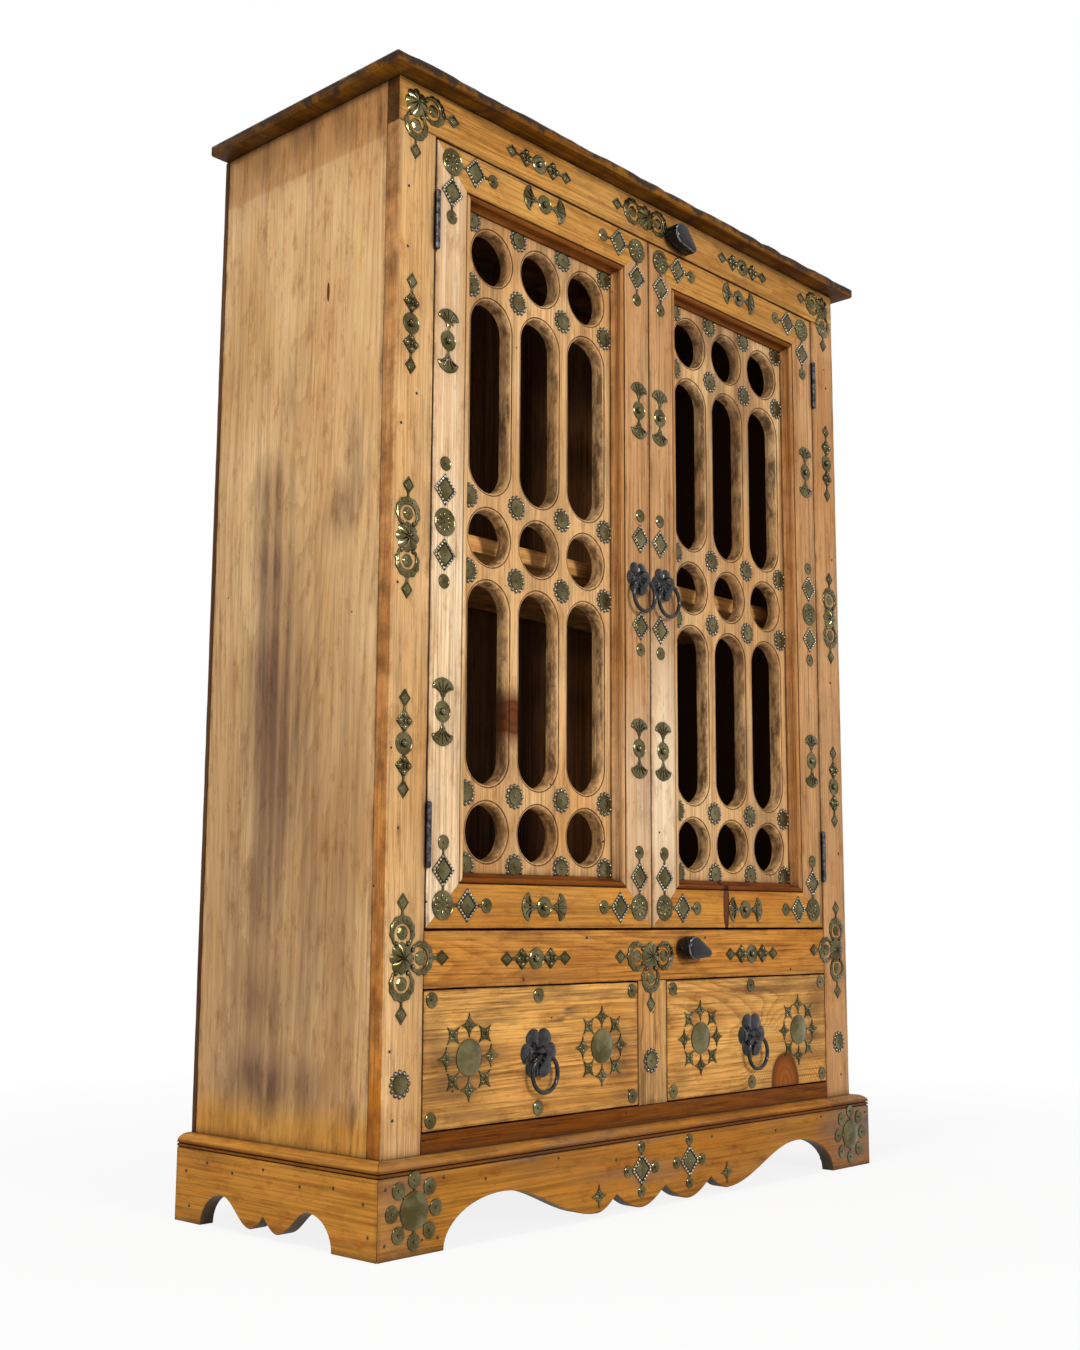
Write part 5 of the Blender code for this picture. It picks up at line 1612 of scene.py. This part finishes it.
def lozenge(build, place, half_u=22.0, half_v=24.0, pearls=5):
    """A diamond with a pearled edge and a raised inner line."""
    corners = diamond(half_u, half_v)
    # Partly painted shade: the border round the pearls takes the black brass
    mark(scaled_levels(build, place, corners, LOZENGE_STEPS)[LOZENGE_BORDER], BLACKENED_AND_SHADED)
    for corner, after in zip(corners, corners[1:] + corners[:1]):
        first, last = Vector(corner) * PEARL_LINE, Vector(after) * PEARL_LINE
        for index in range(pearls):
            here = first.lerp(last, (index + 0.5) / pearls)
            # Partly painted highlight: the pearls take the pale brass
            mark(bead(build, place, here.x, here.y, *EDGE_PEARL)[1:], RUBBED_AND_HIGHLIT)
    nail(build, place, base=1.2)


def tip(build, place):
    """A small diamond on a neck, with the neck towards -v."""
    scaled_levels(build, place, diamond(10.5, 13.0), LOZENGE_STEPS)
    nail(build, place, base=1.2)
    neck(build, place, start=-17.5, end=-11.0, width=4.5, height=1.6)


FAN_SIDE = ((3.5, 0.0), (4.2, 3.0), (6.5, 6.0), (10.5, 9.0), (15.5, 11.0), (20.2, 12.0), (20.8, 13.8),
            (19.2, 17.8), (16.0, 21.8), (11.0, 25.0), (5.0, 27.0))
FAN_TOP = (0.0, 28.0)
FAN_RIBS = (-0.85, -0.45, 0.0, 0.45, 0.85)
FAN_RIB_REACH = (25.0, 5.5)
FAN_RIB_FOOT = (5.0, 8.0)
FAN_NAIL_AT = 4.0


def fan(build, place):
    """A fluted shell that opens towards +v."""
    outline = [*FAN_SIDE, FAN_TOP] + [(-u, v) for u, v in reversed(FAN_SIDE)]
    plate(build, place, outline, 1.7)
    for lean in FAN_RIBS:
        end = polar(FAN_RIB_REACH[0] - FAN_RIB_REACH[1] * abs(lean), lean)
        rib(build, place, (lean * FAN_RIB_FOOT[0], FAN_RIB_FOOT[1]), end, width=2.8, height=2.9)
    bead(build, place, 0.0, FAN_NAIL_AT, NAIL, 1.5)


def fan_strip(build, place):
    """Two shells on a disc."""
    ring_disc(build, place, radius=15.0)
    for half in wheel(place, 2):
        fan(build, shifted(half, 0.0, 21.0))
        neck(build, half, start=14.0, end=24.0, width=5.0, height=1.5)


def four_pearls(build, place):
    """Four big pearls on a small diamond."""
    scaled_levels(build, place, diamond(15.5, 16.5), LOZENGE_STEPS[:4])
    for u, v in diamond(8.6, 8.8):
        bead(build, place, u, v, *BIG_PEARL)
    nail(build, place, base=1.6, radius=2.4)


def strip(build, place):
    """Tip, pearls, disc, pearls and tip in a row along v."""
    ring_disc(build, place)
    for half in wheel(place, 2):
        four_pearls(build, shifted(half, 0.0, 31.0))
        tip(build, shifted(half, 0.0, 63.0))
        neck(build, half, start=43.0, end=48.0, width=4.0, height=1.6)


LEAVES = 8


def leaf_boss(build, place, radius=22.0):
    """A shell of eight leaves."""
    def reach(angle):
        return radius * (0.80 + 0.20 * petals(LEAVES, angle) ** 0.7)

    def height(share, angle):
        return 0.8 + 4.6 * (1 - share ** 2) * (0.52 + 0.48 * petals(LEAVES, angle))

    relief(build, place, reach, height, steps=96, rings=8)


SCROLL_REACH = math.radians(142)
SCROLL_STEPS = 36
SCROLL_EDGE = 24.0
SCROLL_TAPER = 3.0
SCALLOP_DEPTH = 0.9
SCALLOPS = 11
MOUTH_EDGE = 13.0
MOUTH_FLARE = 5.4
DOME_RADIUS = 9.4
SCROLL_PEARLS = 4
PEARL_ARC = 18.6
PEARL_SPREAD = 5.2
END_PEARL_ARC = 18.0
SCROLL_AT = 34.0
TIP_AT = 75.0


def fluted(share, angle):
    """Height of the dome in a scroll's mouth."""
    return 0.8 + 2.6 * (1 - share ** 2) + 0.4 * math.cos(6 * angle) * share


def scroll(build, place):
    """A horseshoe that opens towards -v, with scallops, pearls and a dome in its mouth."""
    outer, inner = [], []
    for index in range(SCROLL_STEPS + 1):
        lean = -SCROLL_REACH + 2 * SCROLL_REACH * index / SCROLL_STEPS
        share = abs(lean) / SCROLL_REACH
        scallop = SCALLOP_DEPTH * math.cos(lean * SCALLOPS)
        outer.append(polar(SCROLL_EDGE - SCROLL_TAPER * share ** 2 + scallop, lean))
        inner.append(polar(MOUTH_EDGE + MOUTH_FLARE * share ** 2, lean))
    plate(build, place, outer + inner[::-1], 1.8)
    for index in range(-SCROLL_PEARLS, SCROLL_PEARLS + 1):
        middle = polar(PEARL_ARC, SCROLL_REACH * index / PEARL_SPREAD)
        bead(build, place, *middle, 1.9 - 0.12 * abs(index), 1.4, 8)
    for sign in (-1, 1):
        bead(build, place, *polar(END_PEARL_ARC, sign * SCROLL_REACH), *END_PEARL)
    relief(build, place, lambda angle: DOME_RADIUS, fluted, steps=30, rings=6)
    nail(build, place, base=3.0)


def short_arm(build, place):
    """A scroll that grows out of a leaf boss."""
    scroll(build, shifted(place, 0.0, SCROLL_AT))


def arm(build, place):
    """The same with a tip beyond it."""
    short_arm(build, place)
    tip(build, shifted(place, 0.0, TIP_AT))


DAISY_PEARLS = 12


def daisy(build, place, radius=12.4):
    """A flat disc in a ring of twelve pearls."""
    disc(build, place, radius, base=1.2, ridges=((0.5, 0.9, 0.12),), steps=32, rings=8)
    for angle in turns(DAISY_PEARLS):
        u, v = radius * PEARL_CIRCLE * math.cos(angle), radius * PEARL_CIRCLE * math.sin(angle)
        setting = stadium(SETTING_RADIUS, 0.0, SETTING_POINTS)
        # Partly painted shade: the setting round each pearl takes the black brass
        mark(scaled_levels(build, shifted(place, u, v), setting, SETTING_STEPS), BLACKENED_AND_SHADED)
        # Partly painted highlight: the pearls take the pale brass
        mark(bead(build, place, u, v, *DAISY_PEARL)[1:], RUBBED_AND_HIGHLIT)
    nail(build, place, base=1.0)


STAR_PINCH = 0.6


def star(build, place, reach=17.0):
    """A four-pointed star with four petals."""
    def edge(angle):
        spread = abs(math.cos(angle)) ** STAR_PINCH + abs(math.sin(angle)) ** STAR_PINCH
        return reach / spread ** (1 / STAR_PINCH)

    relief(build, place, edge, lambda share, angle: 1.2 + 0.7 * (1 - share), steps=48, rings=4)
    for ray in wheel(place, 4):
        drop(build, ray, start=reach * 0.05, end=reach * 0.55, width=reach * 0.30, rise=3.0)
    bead(build, place, 0.0, 0.0, *STAR_PEARL)


def dome(build, place, rise, radius=25.0):
    """A smooth swelling boss with a nail."""
    disc(build, place, radius, base=1.2, ridges=((rise, 0.0, 1.0),), steps=48, rings=9)
    nail(build, place, base=rise + 0.4)


def star_rosette(build, place):
    """A dome in a wheel of eight stars that touch one another."""
    dome(build, place, rise=4.6)
    for ray in wheel(place, 8, 44.0):
        star(build, ray)


def plinth_flower(build, place):
    """A dome in a wheel of eight small ring discs."""
    dome(build, place, rise=4.0)
    for ray in wheel(place, 8):
        neck(build, ray, start=22.0, end=33.0, width=4.0, height=1.5)
        small_disc(build, shifted(ray, 0.0, 39.5), radius=11.0)


def plinth_diamond(build, place):
    """A pearled diamond with a disc at each corner."""
    lozenge(build, place, half_u=24.0)
    for ray in wheel(place, 4, 33.0):
        small_disc(build, ray, radius=8.6)


def chain_necks(build, place):
    """The short links between a disc, a lozenge and a small disc in a row along v."""
    neck(build, place, start=19.0, end=27.0, width=5.0, height=1.5)
    neck(build, place, start=70.0, end=79.0, width=4.0, height=1.5)


# Where the stamps and nails sit, in millimetres

BRASS_SHARP = 50.0
NAIL_SHARP = 60.0
NAIL_HEAD = 2.3
NAIL_DEPTH = -0.6
NAIL_STEPS = 8
FRAME_NAILS = ((-553, 1487), (-560, 1130), (-553, 1395), (-561, 900), (-552, 560), (-560, 262),
               (-553, 172), (-531, 1180), (548, 1460), (556, 1120), (540, 880), (555, 560), (547, 160),
               (-300, 350), (-160, 410), (140, 408), (390, 352), (-480, 160), (-60, 175), (60, 320),
               (-495, 142))
PLINTH_NAILS = ((-585, 90), (-480, 95), (-400, 84), (-250, 96), (-120, 80), (120, 92), (300, 85),
                (440, 96), (585, 92), (-585, 20), (-490, 18))
SIDE_NAILS = ((-190, 70), (-130, 84), (-60, 78), (20, 92), (90, 80), (150, 88), (200, 72), (-200, 30),
              (190, 24))
CORNER_X = 541
STILE_X = 544
TOP_Z = 1620
LOWER_Z = 384
CORNER_DAISY_Z = 218
TOP_MIDDLE = (-8, 1622)
LOWER_MIDDLE = (-5, 380)
MIDDLE_DAISY_Z = 217
RAIL_STRIPS = ((275, 1621), (273, 380))
PLINTH_STAMPS = ((plinth_flower, 534, 58), (plinth_diamond, 60, 60), (star, 160, 32))

# Heights of the ornaments on each front stile: the middle, upper and lower ones
STILE_HEIGHTS = {"left": (967, 1281, 676), "right": (1005, 1308, 684)}
DOOR_CORNERS_X = (466, 32)
DOOR_CORNERS_Z = ((1555, -1), (456, 1))
CORNER_CHAIN = ((lozenge, 48), (small_disc, 87))
DOOR_FANS = ((262, 1558, LEFT), (256, 455, LEFT), (470, 1275, UP), (471, 727, UP), (28, 1276, UP),
             (31, 710, UP))

# Chains at the middle of the door's stiles: x, z and the steps to a lozenge and a small disc
MIDDLE_CHAINS = ((472, 1002, (48, 87)), (26, 984, (73, 112)))
GRILLE_ACROSS = (-155, -52, 52, 155)
GRILLE_UP = (-489, -385, -57, 57, 385, 489)
DRAWER_ROSETTES = (-143, 143)
DRAWER_ACROSS = (-216, 0, 216)
DRAWER_UP = (-80, 81)


def trim(name, body, *stamps):
    """Nail a set of stamps, each (stamp, x, z, turn) in millimetres, to one face as one piece."""
    build = bmesh.new()
    for stamp, x, z, turn, *more in stamps:
        stamp(build, spot(x * MM, z * MM, turn, *more))
    finish_piece(build, name, BRASS, body, "brass_trim", BRASS_SHARP, (RUBBED_HIGHLIT_BRASS, BLACK_SHADED_BRASS))


def boss_and_arms(x, z, *arms):
    """A leaf boss with arms, each a stamp and the way that it points."""
    return [(leaf_boss, x, z, UP)] + [(stamp, x, z, turn) for stamp, turn in arms]


def dress_front():
    """Brass of the face frame and the plinth."""
    for side, sign in SIDES:
        inward = RIGHT if sign < 0 else LEFT
        edge = CORNER_X * sign
        trim(f"{side}_top_corner_brass", "carcass",
             *boss_and_arms(edge, TOP_Z, (arm, inward), (arm, DOWN)))
        trim(f"{side}_lower_corner_brass", "carcass",
             *boss_and_arms(edge, LOWER_Z, (arm, inward), (arm, UP), (arm, DOWN)),
             (daisy, edge, CORNER_DAISY_Z, UP))
        middle, upper, lower = STILE_HEIGHTS[side]
        edge = STILE_X * sign
        trim(f"{side}_stile_brass", "carcass", *boss_and_arms(edge, middle, (arm, UP), (arm, DOWN)),
             (strip, edge, upper, UP), (strip, edge, lower, UP))
        trim(f"{side}_rail_brass", "carcass", *[(strip, x * sign, z, LEFT) for x, z in RAIL_STRIPS])
        trim(f"{side}_plinth_brass", "carcass",
             *[(stamp, x * sign, z, UP, PLINTH_FACE) for stamp, x, z in PLINTH_STAMPS])
    trim("top_middle_brass", "carcass", *boss_and_arms(*TOP_MIDDLE, (arm, LEFT), (short_arm, RIGHT)))
    trim("lower_middle_brass", "carcass",
         *boss_and_arms(*LOWER_MIDDLE, (arm, LEFT), (arm, DOWN), (short_arm, RIGHT)),
         (daisy, LOWER_MIDDLE[0], MIDDLE_DAISY_Z, UP))


def door_stamps(sign):
    """The stamps on a door's frame."""
    stamps = []
    for x, toward in zip(DOOR_CORNERS_X, (-sign, sign)):
        x *= sign
        for z, rise in DOOR_CORNERS_Z:
            stamps.append((petal_disc, x, z, UP))
            for stamp, step in CORNER_CHAIN:
                stamps.append((stamp, x + toward * step, z, UP))
                stamps.append((stamp, x, z + rise * step, UP))
            stamps.append((chain_necks, x, z, LEFT if toward < 0 else RIGHT))
            stamps.append((chain_necks, x, z, UP if rise > 0 else DOWN))
    stamps += [(fan_strip, x * sign, z, turn) for x, z, turn in DOOR_FANS]
    stamps.append((petal_disc, MIDDLE_CHAINS[0][0] * sign, MIDDLE_CHAINS[0][1], UP))
    for x, z, offsets in MIDDLE_CHAINS:
        for rise in (-1, 1):
            for stamp, step in zip((lozenge, small_disc), offsets):
                stamps.append((stamp, x * sign, z + rise * step, UP))
    return stamps


def dress_door_brass():
    """Brass of the doors and drawers."""
    for side, sign in SIDES:
        trim(f"{side}_door_frame_brass", f"{side}_door", *door_stamps(sign))
        middle, level = DOOR_X / MM * sign, DOOR_Z / MM
        stamps = [(daisy, middle + across, level + up, UP, GRILLE_FACE) for across in GRILLE_ACROSS
                  for up in GRILLE_UP]
        trim(f"{side}_grille_brass", f"{side}_door", *stamps)
        middle, level = DRAWER_X / MM * sign, DRAWER_Z / MM
        stamps = [(star_rosette, middle + across, level, UP) for across in DRAWER_ROSETTES]
        stamps += [(small_disc, middle + across, level + up, UP) for across in DRAWER_ACROSS
                   for up in DRAWER_UP]
        trim(f"{side}_drawer_brass", f"{side}_drawer", *stamps)


def side_spot(sign, y, z):
    """A place on the outer face of a plinth's side board."""
    face = Matrix.Rotation(sign * math.pi / 2, 4, "Z") @ FACE_AXES
    return Matrix.Translation((sign * PLINTH_HALF, y * MM, z * MM)) @ face @ Matrix.Scale(MM, 4)


def iron_nails(name, places):
    """Small dark nail heads along the boards."""
    build = bmesh.new()
    for place in places:
        bead(build, place, 0.0, 0.0, NAIL_HEAD, NAIL_DEPTH, NAIL_STEPS)
    finish_piece(build, name, IRON, "carcass", "wrought_iron", NAIL_SHARP)


def dress_nails():
    """Nails of the face frame and the plinth."""
    iron_nails("frame_nails", [spot(x * MM, z * MM) for x, z in FRAME_NAILS])
    places = [spot(x * MM, z * MM, face=PLINTH_FACE) for x, z in PLINTH_NAILS]
    places += [side_spot(sign, y, z) for _, sign in SIDES for y, z in SIDE_NAILS]
    iron_nails("plinth_nails", places)


dress_front()
dress_door_brass()
dress_nails()


# Stage, light and camera

FLOOR_HALF = 20.0
FLOOR_FADE = 3.0
FLOOR_ROUGH = 0.9
FLOOR_WHITE = ((0.25, 0.86), (0.75, 1.0))
AMBIENT = 0.42
TARGET = (0.0, 0.0, 0.85)
SIDE_TARGET = (-0.574, 0.0, 0.9)

# Lamps: name, place, what it looks at, size and power
LAMPS = (
    ("front_box", (-0.7, -4.2, 1.9), TARGET, 0.8, 97.0),
    ("left_box", (-4.4, -1.0, 2.2), TARGET, 2.2, 45.0),
    ("high_box", (-2.4, -0.5, 7.2), SIDE_TARGET, 0.9, 230.0),
)
SENSOR_HEIGHT = 36.0
FOCAL_LENGTH = 42.751
CAMERA_PLACE = (-2.0326, FRONT - 1.6262, 0.4391)
CAMERA_TURN = (98.6166, -0.2653, -47.3787)


def seen_rays(finish):
    """1 for rays that come straight from the camera, or by way of a mirror or glass."""
    rays = finish.add("ShaderNodeLightPath", {}).outputs
    bounced = finish.highest(rays["Is Glossy Ray"], rays["Is Transmission Ray"])
    return finish.highest(rays["Is Camera Ray"], bounced)


def build_stage():
    """A pale floor that shows white to the camera and keeps a soft shadow."""
    build = bmesh.new()
    bmesh.ops.create_grid(build, x_segments=1, y_segments=1, size=FLOOR_HALF)
    floor = placed("floor", baked(build, "floor"))
    paint = Finish("pale_floor")
    paint.surface(Base_Color=FLOOR_GREY, Roughness=FLOOR_ROUGH, Specular_IOR_Level=0.0)
    glow = paint.add("ShaderNodeEmission", {"Color": WHITE, "Strength": 1.0})
    away = paint.divided(paint.vector("LENGTH", paint.texture_place()), FLOOR_FADE)
    seen = paint.times(seen_rays(paint), paint.ramp(away, *FLOOR_WHITE))
    paint.blend("Material Output", seen, paint.shader, glow)
    floor.data.materials.append(paint.material)


class WorldFinish(Finish):
    """The world, built with the same short spellings."""

    def __init__(self, name):
        self.world = bpy.data.worlds.new(name)
        self.world.use_nodes = True
        self.tree = self.world.node_tree
        bpy.context.scene.world = self.world


def build_world():
    """White to the camera, and a plain soft level of light on the object."""
    sky = WorldFinish("studio")
    white = sky.add("ShaderNodeBackground", {"Color": WHITE, "Strength": 1.0})
    soft = sky.tree.nodes["Background"]
    sky.feed(soft.inputs["Color"], WHITE)
    sky.feed(soft.inputs["Strength"], AMBIENT)
    sky.blend("World Output", seen_rays(sky), soft, white)


def add_lamp(name, place, target, size, power):
    """A square soft box turned towards a point."""
    lamp = bpy.data.lights.new(name, "AREA")
    lamp.size = size
    lamp.energy = power
    holder = placed(name, lamp)
    holder.location = place
    holder.rotation_euler = (Vector(target) - Vector(place)).to_track_quat("-Z", "Y").to_euler()


def build_camera():
    """The photograph's view: low, from the front left, tilted up."""
    lens = bpy.data.cameras.new("camera")
    lens.sensor_fit = "VERTICAL"
    lens.sensor_height = SENSOR_HEIGHT
    lens.lens = FOCAL_LENGTH
    holder = placed("camera", lens)
    holder.location = CAMERA_PLACE
    holder.rotation_euler = [math.radians(angle) for angle in CAMERA_TURN]
    bpy.context.scene.camera = holder


build_stage()
build_world()
for lamp_settings in LAMPS:
    add_lamp(*lamp_settings)
build_camera()
bpy.context.scene.view_settings.view_transform = "Standard"
